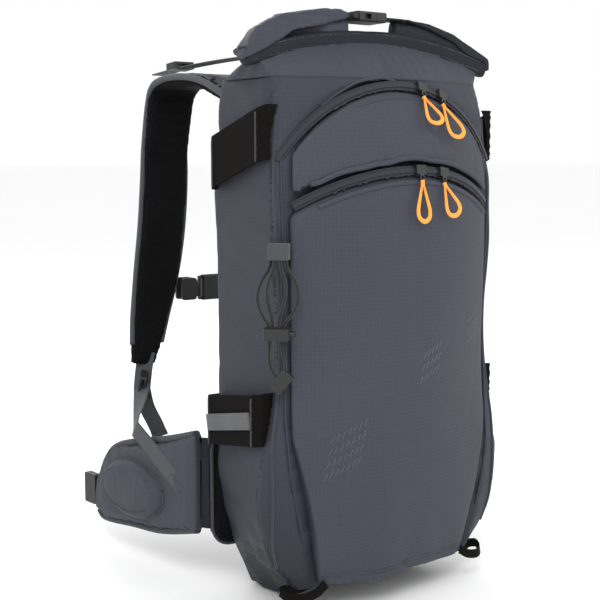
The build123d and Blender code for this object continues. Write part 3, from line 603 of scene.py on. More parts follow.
def ring_skin(name: str, rings: list[np.ndarray]) -> bpy.types.Object:
    """A closed piece over rings of points, with a flat face at each end."""
    columns, last = len(rings[0]), (len(rings) - 1) * len(rings[0])
    faces = ring_faces(len(rings) - 1, columns)
    faces += [tuple(range(columns - 1, -1, -1)), tuple(range(last, last + columns))]
    piece = make_piece(name, np.vstack(rings), faces)
    face_outward(piece)
    return piece


def loft(
    name: str, path: np.ndarray, across: np.ndarray, section: Callable[[float, float], np.ndarray]
) -> bpy.types.Object:
    """Loft a section along a path.

    Args:
        name: piece name.
        path: centre line.
        across: unit vectors for the section's first direction at each point.
        section: gives points (across, out) for the share along the path and its length so far.

    Returns:
        The lofted piece, with a UV map in metres.
    """
    along = tangents(path)
    travel = np.concatenate([[0], np.cumsum(np.linalg.norm(np.diff(path, axis=0), axis=1))])
    rings, uvs = [], []
    count = 0
    for index, place in enumerate(path):
        shape = np.asarray(section(travel[index] / travel[-1], travel[index]))
        count = len(shape)
        side = across[index] - along[index] * np.dot(across[index], along[index])
        side = side / np.linalg.norm(side)
        out = np.cross(along[index], side)
        rings.append(place + shape[:, :1] * side + shape[:, 1:2] * out)
        girth = np.concatenate([[0], np.cumsum(np.linalg.norm(np.diff(shape[:, :2], axis=0), axis=1))])
        uvs.append(np.stack([girth, np.full(count, travel[index])], axis=1))
    faces = ring_faces(len(path) - 1, count)
    points = np.vstack(rings)
    uv = np.vstack(uvs)
    for start, flip in ((0, True), ((len(path) - 1) * count, False)):
        ring = list(range(start, start + count))
        centre = len(points)
        points = np.vstack([points, points[ring].mean(axis=0)])
        uv = np.vstack([uv, uv[ring].mean(axis=0)])
        for column in range(count):
            a, b = ring[column], ring[(column + 1) % count]
            faces.append((b, a, centre) if flip else (a, b, centre))
    piece = make_piece(name, points, faces, uv)
    face_outward(piece)
    return piece


def face_outward(piece: bpy.types.Object) -> None:
    """Recalculate a closed piece's normals so that they point out."""
    activate(piece)
    bpy.ops.object.mode_set(mode="EDIT")
    bpy.ops.mesh.select_all(action="SELECT")
    bpy.ops.mesh.normals_make_consistent(inside=False)
    bpy.ops.object.mode_set(mode="OBJECT")


def band_section(half: float, thick: float, corner: int = 3) -> np.ndarray:
    """A flat strap's section with rounded selvedges."""
    radius = thick / 2
    bend = half - radius
    right = [
        (bend + radius * math.cos(t), radius * math.sin(t))
        for t in np.linspace(-math.pi / 2, math.pi / 2, 2 * corner)
    ]
    left = [
        (-bend + radius * math.cos(t), radius * math.sin(t))
        for t in np.linspace(math.pi / 2, 1.5 * math.pi, 2 * corner)
    ]
    inner = [(x, radius) for x in np.linspace(half - radius, -half + radius, 6)[1:-1]]
    under = [(x, -radius) for x in np.linspace(-half + radius, half - radius, 6)[1:-1]]
    return np.array(right + inner + left + under)


def round_section(radius: float, count: int = 10) -> np.ndarray:
    """A round section."""
    angles = np.linspace(0, math.tau, count, endpoint=False)
    return np.stack([radius * np.cos(angles), radius * np.sin(angles)], axis=1)


def cushion_section(half: float, thick: float, count: int = 28, square: float = 2.6) -> np.ndarray:
    """A padded strap's crowned section: a superellipse."""
    angles = np.linspace(0, math.tau, count, endpoint=False)
    x = np.sign(np.cos(angles)) * np.abs(np.cos(angles)) ** (2 / square) * half
    y = np.sign(np.sin(angles)) * np.abs(np.sin(angles)) ** (2 / square) * thick / 2
    return np.stack([x, y], axis=1)


def join(name: str, pieces: list[bpy.types.Object]) -> bpy.types.Object:
    """Join pieces into one."""
    deselect()
    for piece in pieces:
        piece.select_set(True)
    bpy.context.view_layer.objects.active = pieces[0]
    if len(pieces) > 1:
        bpy.ops.object.join()
    pieces[0].name = name
    pieces[0].data.name = name
    return pieces[0]


def stitching(
    name: str, path: np.ndarray, normals: np.ndarray, pitch: float = 3.2 * MM, radius: float = 0.28 * MM,
    lift: float = 0.15 * MM,
) -> bpy.types.Object:
    """A row of lockstitches that follows a path on a surface.

    Args:
        name: piece name.
        path: where the row runs.
        normals: surface normals at the path's points.
        pitch: length of one stitch and its gap.
        radius: thread radius.
        lift: height of the thread's middle above the surface.

    Returns:
        The stitches as one piece.
    """
    length = float(np.sum(np.linalg.norm(np.diff(path, axis=0), axis=1)))
    count = max(2, int(length / pitch))
    spots = even_path(np.hstack([path, normals]), 2 * count)
    places, outs = spots[:, :3], unit(spots[:, 3:])
    heading = tangents(places)
    points, faces = [], []
    for index in range(0, 2 * count, 2):
        centre, out, ahead = places[index], outs[index], heading[index]
        side = np.cross(ahead, out)
        base = len(points)
        for share, swell in ((-0.36, 0.25), (-0.2, 1.0), (0.2, 1.0), (0.36, 0.25)):
            for angle in (0.0, 1.257, 2.513, 3.770, 5.027):
                ring = side * math.cos(angle) + out * math.sin(angle)
                rise = lift - (0 if swell == 1.0 else lift)
                points.append(centre + ahead * pitch * share + out * rise + ring * radius * swell)
        for row in range(3):
            for column in range(5):
                nxt = (column + 1) % 5
                faces.append((
                    base + row * 5 + column, base + row * 5 + nxt, base + (row + 1) * 5 + nxt,
                    base + (row + 1) * 5 + column
                ))
        faces.append(tuple(base + column for column in range(4, -1, -1)))
        faces.append(tuple(base + 15 + column for column in range(5)))
    piece = make_piece(name, np.array(points), faces)
    face_outward(piece)
    return piece


def tree_of(name: str) -> BVHTree:
    """A search tree over an object's mesh, for landing seams on it."""
    mesh = bpy.data.objects[name].data
    points = [tuple(vertex.co) for vertex in mesh.vertices]
    return BVHTree.FromPolygons(points, [tuple(polygon.vertices) for polygon in mesh.polygons])


def land(tree: BVHTree, path: np.ndarray, lift: float) -> Row:
    """Move a path onto the nearest surface.

    Args:
        tree: the surface.
        path: points near it.
        lift: height to keep above it.

    Returns:
        The landed points and their outward normals.
    """
    places, normals = [], []
    for point in path:
        spot, normal, _, _ = tree.find_nearest(Vector(point))
        out = np.array(normal)
        places.append(np.array(spot) + out * lift)
        normals.append(out)
    return np.array(places), unit(np.array(normals))


def cast(tree: BVHTree, start: np.ndarray, heading: np.ndarray) -> Row | None:
    """First hit of a ray on a surface, with its normal."""
    spot, normal, _, _ = tree.ray_cast(Vector(start), Vector(heading))
    if spot is None:
        return None
    return np.array(spot), np.array(normal)


def cast_row(tree: BVHTree, line: Iterable[np.ndarray], heading: np.ndarray) -> Row:
    """Cast a line of points along one heading.

    Args:
        tree: the surface.
        line: where the rays start.
        heading: the way they go.

    Returns:
        The places that were hit and their normals.
    """
    hits = [hit for hit in (cast(tree, point, heading) for point in line) if hit]
    return np.array([hit[0] for hit in hits]), np.array([hit[1] for hit in hits])


def wrinkle(place: np.ndarray, scale: float, stretch: Sequence[float], seed: float) -> float:
    """Smooth signed noise, stretched along the axes, for folds in cloth."""
    return noise.noise(Vector(
        (place[0] * stretch[0] * scale + seed, place[1] * stretch[1] * scale, place[2] * stretch[2] * scale)
    ))


def inflate(piece: bpy.types.Object, pressure: float, cap: float, frames: int = 20) -> None:
    """Puff a closed pad with a short cloth simulation and keep its movement small.

    Args:
        piece: a closed, evenly meshed pad.
        pressure: cloth pressure.
        cap: furthest that a point may move.
        frames: simulated frames.
    """
    before = points_of(piece)
    cloth = piece.modifiers.new("puff", "CLOTH")
    settings = {
        "quality": 4, "mass": 0.25, "use_pressure": True, "uniform_pressure_force": pressure,
        "tension_stiffness": 18, "compression_stiffness": 18, "bending_stiffness": 1.5,
    }
    for key, value in settings.items():
        setattr(cloth.settings, key, value)
    cloth.settings.effector_weights.gravity = 0
    cloth.point_cache.frame_start = 1
    cloth.point_cache.frame_end = frames
    scene = bpy.context.scene
    for frame in range(1, frames + 1):
        scene.frame_set(frame)
    graph = bpy.context.evaluated_depsgraph_get()
    shaped = piece.evaluated_get(graph).to_mesh()
    flat = np.zeros(len(shaped.vertices) * 3, dtype=np.float32)
    shaped.vertices.foreach_get("co", flat)
    moved = flat.reshape(-1, 3).astype(np.float64) - before
    piece.evaluated_get(graph).to_mesh_clear()
    piece.modifiers.remove(cloth)
    scene.frame_set(1)
    far = np.maximum(np.linalg.norm(moved, axis=1, keepdims=True), 1e-9)
    set_points(piece, before + moved * np.minimum(1.0, cap / far))


def soft_copy(
    name: str, node: str, voxel: float, smooth: int, amount: float, scale: float,
    stretch: Sequence[float], seed: float, sharp: float = 0.45,
) -> bpy.types.Object:
    """Turn a sewn CAD solid into cloth: even mesh, rounded edges and folds.

    Args:
        name: piece name.
        node: CAD node whose place and size it keeps.
        voxel: mesh size.
        smooth: rounds of edge relaxing.
        amount: depth of the folds.
        scale: how many folds a metre.
        stretch: fold lengths along the axes, as shares.
        seed: which folds.
        sharp: share of sharp creases among the folds.

    Returns:
        The cloth piece.
    """
    piece = copy_of_node(name, node)
    remesh(piece, voxel, smooth)
    crumple(piece, amount, scale, stretch, seed, sharp)
    box_uv(piece)
    return piece


def crumple(
    piece: bpy.types.Object, amount: float, scale: float, stretch: Sequence[float], seed: float,
    sharp: float = 0.45,
) -> None:
    """Push a piece's surface in and out in soft folds with sharper creases among them.

    Args:
        piece: what to fold.
        amount: depth of the folds.
        scale: how many folds a metre.
        stretch: fold lengths along the axes, as shares.
        seed: which folds.
        sharp: share of sharp creases among the folds.
    """
    places, normals = points_of(piece), normals_of(piece)
    for index, place in enumerate(places):
        broad = wrinkle(place, scale, stretch, seed)
        crease = 1.0 - min(1.0, 5.0 * abs(wrinkle(place, scale * 1.7, stretch, seed + 9.0)))
        places[index] = place + normals[index] * amount * (broad - sharp * crease)
    set_points(piece, places)
    for polygon in piece.data.polygons:
        polygon.use_smooth = True


def puffed(
    name: str, node: str, voxel: float, smooth: int, pressure: float, cap: float
) -> bpy.types.Object:
    """An evenly meshed, puffed copy of a padded CAD solid.

    Args:
        name: piece name.
        node: CAD node whose place and size it keeps.
        voxel: mesh size.
        smooth: rounds of edge relaxing.
        pressure: cloth pressure.
        cap: furthest that a point may move.

    Returns:
        The pad.
    """
    piece = copy_of_node(name, node)
    remesh(piece, voxel, smooth)
    inflate(piece, pressure, cap)
    return piece


def two_faced(
    piece: bpy.types.Object, outer: bpy.types.Material, inner: bpy.types.Material,
    chooses: Callable[[Vector], bool]
) -> None:
    """Give a padded piece a different cloth where a test on the normal holds."""
    piece.data.materials.clear()
    piece.data.materials.append(outer)
    piece.data.materials.append(inner)
    for polygon in piece.data.polygons:
        polygon.material_index = 1 if chooses(polygon.normal) else 0


def tube(name: str, path: np.ndarray, radius: float, flat: float = 1.0) -> bpy.types.Object:
    """A piping or binding that follows a path.

    Args:
        name: piece name.
        path: centre line.
        radius: its radius.
        flat: height of the section as a share of its width.

    Returns:
        The tube.
    """
    ahead = tangents(path)
    guide = np.tile(np.array([0.0, 0.0, 1.0]), (len(path), 1))
    steep = np.abs(ahead[:, 2]) > 0.9
    guide[steep] = (0.0, 1.0, 0.0)
    section = round_section(radius) * np.array([1.0, flat])
    return loft(name, path, guide, lambda share, travel: section)


def webbing(
    name: str, path: np.ndarray, across: Sequence[float], half: float, thick: float = 1.6 * MM
) -> bpy.types.Object:
    """A length of woven webbing.

    Args:
        name: piece name.
        path: centre line.
        across: direction of the band's width.
        half: half width.
        thick: thickness.

    Returns:
        The band.
    """
    guide = np.tile(np.array(across, dtype=float), (len(path), 1))
    section = band_section(half, thick)
    return loft(name, path, guide, lambda share, travel: section)


def eased_ring(ring: np.ndarray, reach: int, share: float) -> np.ndarray:
    """Ease a closed ring of points towards its running mean.

    Args:
        ring: the points.
        reach: neighbours on each side in the mean.
        share: how far to move, from 0 to 1.

    Returns:
        The eased ring.
    """
    mean = sum(np.roll(ring, shift, axis=0) for shift in range(-reach, reach + 1)) / (2 * reach + 1)
    return ring * (1 - share) + mean * share


def bridged_ring(tree: BVHTree, centre: np.ndarray, ways: list[np.ndarray]) -> np.ndarray:
    """Cast in from all around and span the places where a ray goes through a gap.

    Args:
        tree: the solid to land on.
        centre: where the rays meet.
        ways: unit directions out from the centre.

    Returns:
        One point for each direction.
    """
    least = 30 * MM
    hits = [cast(tree, centre + away * LOOK_IN, -away) for away in ways]
    good = [
        index for index, hit in enumerate(hits) if hit and float((hit[0] - centre) @ ways[index]) > least
    ]
    known = np.array([hits[index][0] for index in good])
    every = np.arange(len(ways))
    return np.stack([np.interp(every, good, known[:, axis], period=len(ways)) for axis in range(3)], axis=1)


def taut_ring(ring: np.ndarray, share: float) -> np.ndarray:
    """Pull a level ring of cloth straight between the points that hold it out.

    The hollow across the front, where the pocket sits, stays as it is.

    Args:
        ring: the points, counted anticlockwise from +X.
        share: how far to move, from 0 to 1.

    Returns:
        The tightened ring.
    """
    flat = ring[:, :2] - np.array([0.0, AXIS_Y])
    order = sorted(range(len(flat)), key=lambda index: tuple(flat[index]))
    hull: list[np.ndarray] = []
    for run in (order, order[::-1]):
        chain: list[np.ndarray] = []
        for index in run:
            while len(chain) > 1:
                first, second = chain[-1] - chain[-2], flat[index] - chain[-1]
                if first[0] * second[1] - first[1] * second[0] > 0:
                    break
                chain.pop()
            chain.append(flat[index])
        hull += chain[:-1]
    corners = np.array(hull)
    edges = np.roll(corners, -1, axis=0) - corners
    outward = np.stack([edges[:, 1], -edges[:, 0]], axis=1)
    facing = flat @ outward.T
    offset = np.sum(outward * corners, axis=1)
    tiny, touching = 1e-12, 1.004
    grow = np.min(np.where(facing > tiny, offset / np.maximum(facing, tiny), np.inf), axis=1)
    front = 3 * len(flat) // 4
    for way in (-1, 1):
        for step in range(len(flat) // 4):
            spot = (front + way * step) % len(flat)
            if grow[spot] < touching:
                break
            grow[spot] = 1.0
    eased = ring.copy()
    eased[:, :2] += flat * (grow[:, None] - 1.0) * share
    return eased


def shoulder(z: float) -> float:
    """How much the sack draws in sideways towards its rim."""
    return 1.0 - 0.008 * (max(0.0, z - 0.445) / 0.031) ** 2


# --------------------------------------------------------------------------
# Sub-assemblies
# --------------------------------------------------------------------------


@dataclass
class Sack:
    """The main sack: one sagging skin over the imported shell, with its seams."""

    low: float = 0.070
    columns: int = 280
    rows: int = 136
    cap_rows: int = 34
    fold: float = 2.5 * MM

    def skin(self) -> bpy.types.Object:
        """Cast the skin onto the shell from all around and add its folds."""
        tree = tree_of("main_sack")
        rings: list[np.ndarray] = []
        spots = [(self.low, angle) for angle in np.linspace(-math.pi / 2 * 0.985, 0, self.cap_rows)[:-1]]
        spots += [(z, 0.0) for z in np.linspace(self.low, RIM_Z, self.rows)]
        for z, lift in spots:
            centre = np.array([0.0, AXIS_Y, z])
            flat, up = math.cos(lift), math.sin(lift)
            turns = np.linspace(0, math.tau, self.columns, endpoint=False)
            ring = bridged_ring(
                tree, centre,
                [np.array([math.cos(turn) * flat, math.sin(turn) * flat, up]) for turn in turns]
            )
            rise = min(1.0, max(0.0, (z - 0.385) / 0.035))
            rings.append(eased_ring(taut_ring(ring, rise), 4, rise))
        piece = ring_skin("sack_cloth", rings)
        relax = piece.modifiers.new("relax", "SMOOTH")
        relax.iterations = 3
        relax.factor = 0.5
        apply_modifiers(piece)
        self.drape(piece)
        box_uv(piece)
        return piece

    def drape(self, piece: bpy.types.Object) -> None:
        """Fold the side cloth and leave the back flat."""
        places, normals = points_of(piece), normals_of(piece)
        for index, place in enumerate(places):
            x, y, z = place
            side = min(1.0, max(0.0, (abs(normals[index][0]) - 0.25) / 0.4))
            at_foot = math.exp(-((z - 0.10) / 0.09) ** 2)
            at_head = math.exp(-((z - 0.42) / 0.07) ** 2)
            rise = 0.35 + 0.65 * at_foot + 0.5 * at_head
            broad = wrinkle(place, 22.0, (1.0, 1.0, 0.35), 3.0)
            lean = np.array([x, y + 0.5 * z, z - 0.4 * y])
            crease = 1.0 - min(1.0, 4.5 * abs(wrinkle(lean, 17.0, (1.0, 0.5, 1.1), 7.0)))
            small = wrinkle(lean, 48.0, (1.0, 0.8, 1.0), 13.0)
            shift = self.fold * side * rise * (broad - 0.7 * crease + 0.35 * small) - 0.2 * MM
            if y < -0.0835 and 0.03 < z < 0.465:
                shift = -0.6 * MM
            places[index] = place + normals[index] * shift
            places[index][0] *= shoulder(z)
        set_points(piece, places)

    def seam(self, side: Side, finishes: Finishes) -> None:
        """Piping and two rows of stitches down the corner between side and front."""
        tree = tree_of("sack_cloth")
        column = np.array([(side.value * 0.1285, -0.084, z) for z in np.linspace(0.045, 0.470, 90)])
        path, _ = land(tree, column, 0.3 * MM)
        path = smooth_path(path[::6], 120)
        piping = tube(f"corner_piping_{side.word}", path, 1.3 * MM)
        dress(piping, finishes.binding, "pack", "side_fabric")
        rows = []
        for index, shift in enumerate((0.006, 0.0085)):
            row, outs = land(tree, column + np.array([0, shift, 0]), 0.1 * MM)
            rows.append(stitching(f"corner_row_{side.word}_{index}", row, outs, 3.0 * MM, 0.3 * MM))
        dress(join(f"corner_stitches_{side.word}", rows), finishes.dark_thread, "pack", "side_fabric")

    def build(self, finishes: Finishes) -> None:
        """Make and dress the sack."""
        cloth = self.skin()
        dress(cloth, finishes.side, "pack", "shell_fabric", "main_sack")
        two_faced(cloth, finishes.side, finishes.dark, lambda normal: normal.z < -0.45)
        for side in Side:
            self.seam(side, finishes)


@dataclass
class Fronts:
    """The opening front panel and the upper pocket, with hems, piping and print."""

    voxel: float = 1.7 * MM
    hem_height: float = 0.029

    def panel(self, finishes: Finishes) -> None:
        """The panel: taut over its middle, loose and wavy at the hem."""
        piece = soft_copy(
            "panel_cloth", "front_panel", self.voxel, 7, 1.8 * MM, 15.0, (1.0, 1.0, 0.7), 21.0, 0.1
        )
        places = points_of(piece)
        for index, (x, y, z) in enumerate(places):
            loose = math.exp(-max(0.0, z - self.hem_height) / 0.035)
            places[index][1] = y + loose * (
                1.8 * MM * math.sin(x * 55.0) + 0.9 * MM * math.sin(x * 131.0 + 1.0)
            )
            places[index][2] = z + loose * 1.2 * MM * math.sin(x * 70.0 + 0.7)
        set_points(piece, places)
        box_uv(piece)
        dress(piece, finishes.shell, "panel", "shell_fabric", "front_panel")
        self.hem(finishes)
        self.marks(finishes)

    def hem(self, finishes: Finishes) -> None:
        """Bound hem edge with two rows of stitches over it."""
        places = points_of(bpy.data.objects["panel_cloth"])
        lowest = []
        for x in np.linspace(-0.078, 0.078, 40):
            near = places[np.abs(places[:, 0] - x) < 3 * MM]
            floor = near[near[:, 2] < near[:, 2].min() + 2.5 * MM]
            lowest.append((x, floor[:, 1].mean(), floor[:, 2].mean() + 0.6 * MM))
        edge = smooth_path(lowest[::2], 130)
        dress(tube("hem_binding", edge, 2.2 * MM), finishes.binding, "panel", "shell_fabric")
        tree = tree_of("panel_cloth")
        rows = []
        for index, rise in enumerate((0.0065, 0.0095)):
            line = edge + np.array([0.0, -0.03, rise])
            rows.append(stitching(f"hem_row_{index}", *cast_row(tree, line, BACKWARD)))
        dress(join("hem_stitches", rows), finishes.dark_thread, "panel", "shell_fabric")

    def marks(self, finishes: Finishes) -> None:
        """Tone-on-tone hatch marks in slanting groups, cut as thin film."""
        tree = tree_of("panel_cloth")
        films = []
        groups = ((-0.088, 0.128, 7, 4), (0.006, 0.206, 5, 3), (0.074, 0.232, 4, 3))
        for number, (left, low, count, rows) in enumerate(groups):
            for step in range(count * rows):
                column, row = step % count, step // count
                start = np.array(
                    [left + column * 5 * MM + row * 2 * MM, -0.14, low + row * 11 * MM + column * 2.2 * MM]
                )
                line = [
                    start + np.array([share * 3.5 * MM, 0, share * 7 * MM])
                    for share in np.linspace(0, 1, 5)
                ]
                hits, outs = cast_row(tree, line, BACKWARD)
                if len(hits) == len(line):
                    path = hits + outs * 0.1 * MM
                    films.append(
                        webbing(f"mark_{number}_{step}", path, (0.9, 0.0, -0.4), 0.55 * MM, 0.14 * MM)
                    )
        dress(join("tone_marks", films), finishes.print, "panel", "shell_fabric")

    def pocket(self, finishes: Finishes) -> None:
        """The upper pocket's bulging cover."""
        piece = soft_copy(
            "pocket_cloth", "upper_pocket", self.voxel, 7, 1.6 * MM, 20.0, (1.0, 1.0, 0.8), 31.0, 0.15
        )
        dress(piece, finishes.shell, "pack", "shell_fabric", "upper_pocket")

    def build(self, finishes: Finishes) -> None:
        """Make both fronts."""
        self.panel(finishes)
        self.pocket(finishes)


@dataclass
class Zip:
    """One curved zip: coil, piping along both edges and stitch rows."""

    which: str
    body: str
    above: str
    cover: str
    spread: tuple[float, float]
    lip: float
    edge: float = 5.6 * MM

    def arc(self) -> Row:
        """Centre line of the tape and its outward radial direction."""
        joints = {joint["name"]: joint for joint in FRAME["joints"]}
        ring = joints[f"{self.which}_zip_left"]
        knot = np.array(joints[f"{self.which}_pull_left_swing"]["pos_m"])
        centre, axis = np.array(ring["pos_m"]), unit(np.array(ring["axis"], dtype=float))
        arm = knot - centre
        along = axis * np.dot(arm, axis)
        spoke = arm - along
        side = np.cross(axis, spoke)
        turns = np.radians(np.linspace(*self.spread, 150))
        radial = np.cos(turns)[:, None] * spoke + np.sin(turns)[:, None] * side
        return centre + along + radial, unit(radial)

    def build(self, finishes: Finishes) -> None:
        """Make the coil and its edges."""
        path, radial = self.arc()
        ground = tree_of(f"{self.which}_zip")
        row, outs = land(ground, path, 0.2 * MM)
        coil = stitching(f"{self.which}_coil", row, outs, 1.5 * MM, 0.75 * MM, 0.3 * MM)
        dress(coil, finishes.coil, self.body, "zip_coil")
        for word, shift, under in (("outer", self.edge, self.above), ("inner", -self.edge, self.cover)):
            tree = tree_of(under)
            edge, _ = land(tree, path + radial * shift, -0.5 * MM)
            edge = smooth_path(edge[::8], 140)
            rides = "pack" if word == "outer" else self.body
            lip = tube(f"{self.which}_zip_lip_{word}", edge, self.lip, 0.9)
            box_uv(lip)
            dress(lip, finishes.shell, rides, "side_fabric")
            inset, outs = land(tree, path + radial * shift * 1.9, 0.1 * MM)
            rows = stitching(f"{self.which}_zip_row_{word}", inset, outs, 3.0 * MM, 0.28 * MM)
            dress(rows, finishes.dark_thread, rides, "shell_fabric")


@dataclass
class SideSeam:
    """Raised seam that carries on from the upper zip's end down beside the panel."""

    side: Side

    def build(self, finishes: Finishes) -> None:
        """Make the seam and its stitches."""
        sign = self.side.value
        knots = [
            (sign * 0.1185, -0.084, 0.412), (sign * 0.1190, -0.086, 0.380), (sign * 0.1175, -0.088, 0.330),
            (sign * 0.1165, -0.090, 0.270), (sign * 0.1165, -0.091, 0.200), (sign * 0.1150, -0.091, 0.140),
            (sign * 0.1060, -0.091, 0.090), (sign * 0.0960, -0.090, 0.050),
        ]
        path, _ = land(tree_of("sack_cloth"), smooth_path(knots, 60), 0.2 * MM)
        seam = tube(f"side_seam_{self.side.word}", smooth_path(path[::5], 140), 1.5 * MM, 0.8)
        box_uv(seam)
        dress(seam, finishes.side, "pack", "side_fabric")


@dataclass
class RollTop:
    """Collar, rolled closure, its two folded tails and their stitching."""

    y: float = -0.054
    half: float = 0.136
    middle: float = 0.512
    drop: float = 0.020
    drop_at: float = 0.134
    mouth: float = 0.124
    pleats: int = 34
    pleat: float = 1.3 * MM
    columns: int = 240
    rows: int = 16

    def height(self, x: float) -> float:
        """Height of the roll's centre line."""
        return self.middle - self.drop * (x / self.drop_at) ** 2

    def collar(self, finishes: Finishes) -> None:
        """Gathered cloth from the sack's rim up into the roll, with fan pleats."""
        tree = tree_of("main_sack")
        rings = []
        turns = np.linspace(0, math.tau, self.columns, endpoint=False)
        ways = [np.array([math.cos(turn), math.sin(turn), 0.0]) for turn in turns]
        rim = bridged_ring(tree, np.array([0.0, AXIS_Y, RIM_Z]), ways)
        rim = rim * np.array([shoulder(RIM_Z), 1.0, 1.0]) - np.array([0.0, 0.0, 1.5 * MM])
        rim = eased_ring(taut_ring(rim, 1.0), 4, 1.0)
        for row in range(self.rows + 1):
            share = row / self.rows
            ring = []
            for turn, away, edge in zip(turns, ways, rim):
                base = edge + away * 0.6 * MM
                x = max(-self.mouth, min(self.mouth, base[0] * 1.06))
                top = np.array([x, self.y + 5.5 * MM * math.sin(turn), self.height(x) - 2.0 * MM])
                bow = math.sin(math.pi * share) * 1.2 * MM
                wander = math.sin(turn * self.pleats + 2.2 * math.sin(turn * 5))
                pleat = wander * self.pleat * math.sin(math.pi * share) ** 0.7
                place = base * (1 - share**0.9) + top * share**0.9
                ring.append(place + away * (bow + pleat) + np.array([0, 0, bow]))
            rings.append(np.array(ring))
        piece = ring_skin("collar_cloth", rings)
        box_uv(piece)
        piece.data.materials.append(finishes.shell)
        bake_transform(piece)
        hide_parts("collar")

    def roll(self, finishes: Finishes) -> None:
        """The rolled rim: several turns of cloth over a stiffener."""
        xs = np.linspace(-self.half, self.half, 110)
        path = np.array([(x, self.y, self.height(x)) for x in xs])
        guide = np.tile(np.array([0.0, 1.0, 0.0]), (len(path), 1))

        def section(share: float, travel: float) -> np.ndarray:
            """One slice of the roll, with its overlapping lip."""
            shape = cushion_section(7.4 * MM, 15.5 * MM, 44, 3.2)
            angles = np.arctan2(shape[:, 1], shape[:, 0])
            layer = 1.0 + 0.05 * np.sin(angles * 3 + 0.6) + 0.02 * math.sin(travel * 90)
            return shape * layer[:, None]

        piece = loft("roll_cloth", path, guide, section)
        crumple(piece, 0.9 * MM, 34.0, (0.6, 1.0, 1.0), 41.0)
        box_uv(piece)
        dress(piece, finishes.dark, "roll", "shell_fabric", "roll_top")
        tree = tree_of("roll_cloth")
        for index, lift in enumerate((-0.0045, 0.0045)):
            line = np.array([(x, -0.09, self.height(x) + lift) for x in np.linspace(-0.128, 0.128, 90)])
            row = stitching(f"roll_stitches_{index}", *cast_row(tree, line, BACKWARD))
            dress(row, finishes.thread, "roll", "shell_fabric")

    def tails(self, finishes: Finishes) -> None:
        """Both ends, folded up and in to the buckle."""
        left = soft_copy(
            "tail_cloth_left", "roll_tail_left", 1.8 * MM, 6, 2.4 * MM, 34.0, (0.7, 1.2, 1.0), 51.0
        )
        dress(left, finishes.shell, "roll", "shell_fabric", "roll_tail_left")
        right = soft_copy(
            "tail_cloth_right", "roll_tail_right", 1.2 * MM, 3, 0.7 * MM, 24.0, (0.7, 1.2, 1.0), 53.0
        )
        dress(right, finishes.dark, "roll", "shell_fabric", "roll_tail_right")
        under = {
            Side.LEFT: (
                (-0.126, 0.496), (-0.110, 0.505), (-0.090, 0.514), (-0.060, 0.521), (-0.030, 0.527)
            ),
            Side.RIGHT: ((0.126, 0.498), (0.110, 0.507), (0.093, 0.516), (0.062, 0.5235), (0.024, 0.529)),
        }
        for side, line in under.items():
            known = np.array(line)
            middles, halves = [], []
            for x, top in even_path(known, 40):
                low = self.height(x) + 4.0 * MM
                spread = 26 * MM * min(1.0, max(0.0, (-x - 0.05) / 0.07))
                middles.append((x, self.y + spread, (top + low) / 2))
                halves.append(max(3.0 * MM, (top - low) / 2 + 3.0 * MM))

            def section(share: float, travel: float, halves: list[float] = halves) -> np.ndarray:
                """One slice of the cloth under the tail."""
                return cushion_section(halves[min(39, int(round(share * 39)))], 11.0 * MM, 28, 2.2)

            guide = np.tile(np.array([0.0, 0.0, 1.0]), (40, 1))
            fill = loft(f"tail_fold_{side.word}", np.array(middles), guide, section)
            crumple(fill, 1.2 * MM, 46.0, (0.6, 1.0, 1.0), 55.0)
            box_uv(fill)
            dress(fill, finishes.shell if side is Side.LEFT else finishes.dark, "roll", "shell_fabric")

    def build(self, finishes: Finishes) -> None:
        """Make the whole closure."""
        self.collar(finishes)
        self.roll(finishes)
        self.tails(finishes)


@dataclass
class SkiLoop:
    """An elastic band that stands off the side, gathered where it is sewn in."""

    which: str
    side: Side

    def build(self, finishes: Finishes) -> None:
        """Make the band and its piped ends."""
        node = f"{self.which}_ski_loop_{self.side.word}"
        low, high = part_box(node)
        piece = soft_copy(f"{node}_elastic", node, 1.1 * MM, 3, 0.0, 20.0, (1, 1, 1), 61.0)
        places, normals = points_of(piece), normals_of(piece)
        for index, (x, y, z) in enumerate(places):
            front = math.exp(-max(0.0, y - low[1]) / 0.016)
            back = math.exp(-max(0.0, high[1] - y) / 0.010)
            pleat = math.sin(z * 900.0 + 3.0 * math.sin(z * 110.0)) * (0.38 * front + 0.2 * back) * MM
            places[index] = places[index] + normals[index] * pleat
        set_points(piece, places)
        box_uv(piece)
        dress(piece, finishes.elastic, "pack", "elastic", node)
        tree = tree_of(piece.name)
        ends = []
        for word, y in (("front", low[1] + 0.009), ("back", high[1] - 0.009)):
            outer = self.side.value * 0.25
            line = [np.array([outer, y, z]) for z in np.linspace(low[2] + 1 * MM, high[2] - 1 * MM, 70)]
            path, _ = cast_row(tree, line, np.array([-self.side.value, 0.0, 0.0]))
            if len(path) > 12:
                ends.append(tube(f"{node}_edge_{word}", smooth_path(path[::5], 50), 1.0 * MM))
        dress(join(f"{node}_piping", ends), finishes.binding, "pack", "webbing")


@dataclass
class LoopWebbing:
    """The flat webbing sewn over both lower bands."""

    half: float = 7.6 * MM

    def build(self, finishes: Finishes) -> None:
        """Make both lengths as one piece."""
        low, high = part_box("loop_webbing")
        bands = []
        for side in Side:
            x = side.value * (high[0] - 0.5 * MM)
            ends = ((high[1], low[2] + 8 * MM), (low[1], high[2] - 8 * MM))
            path = np.array([(x, y, z) for y, z in ends])
            path = smooth_path([path[0], (path[0] * 0.5 + path[1] * 0.5), path[1]], 30)
            bands.append(webbing(f"loop_band_{side.word}", path, (0, 0, 1), self.half, 1.6 * MM))
        dress(join("loop_webbing_cloth", bands), finishes.reflective, "pack", "reflective", "loop_webbing")


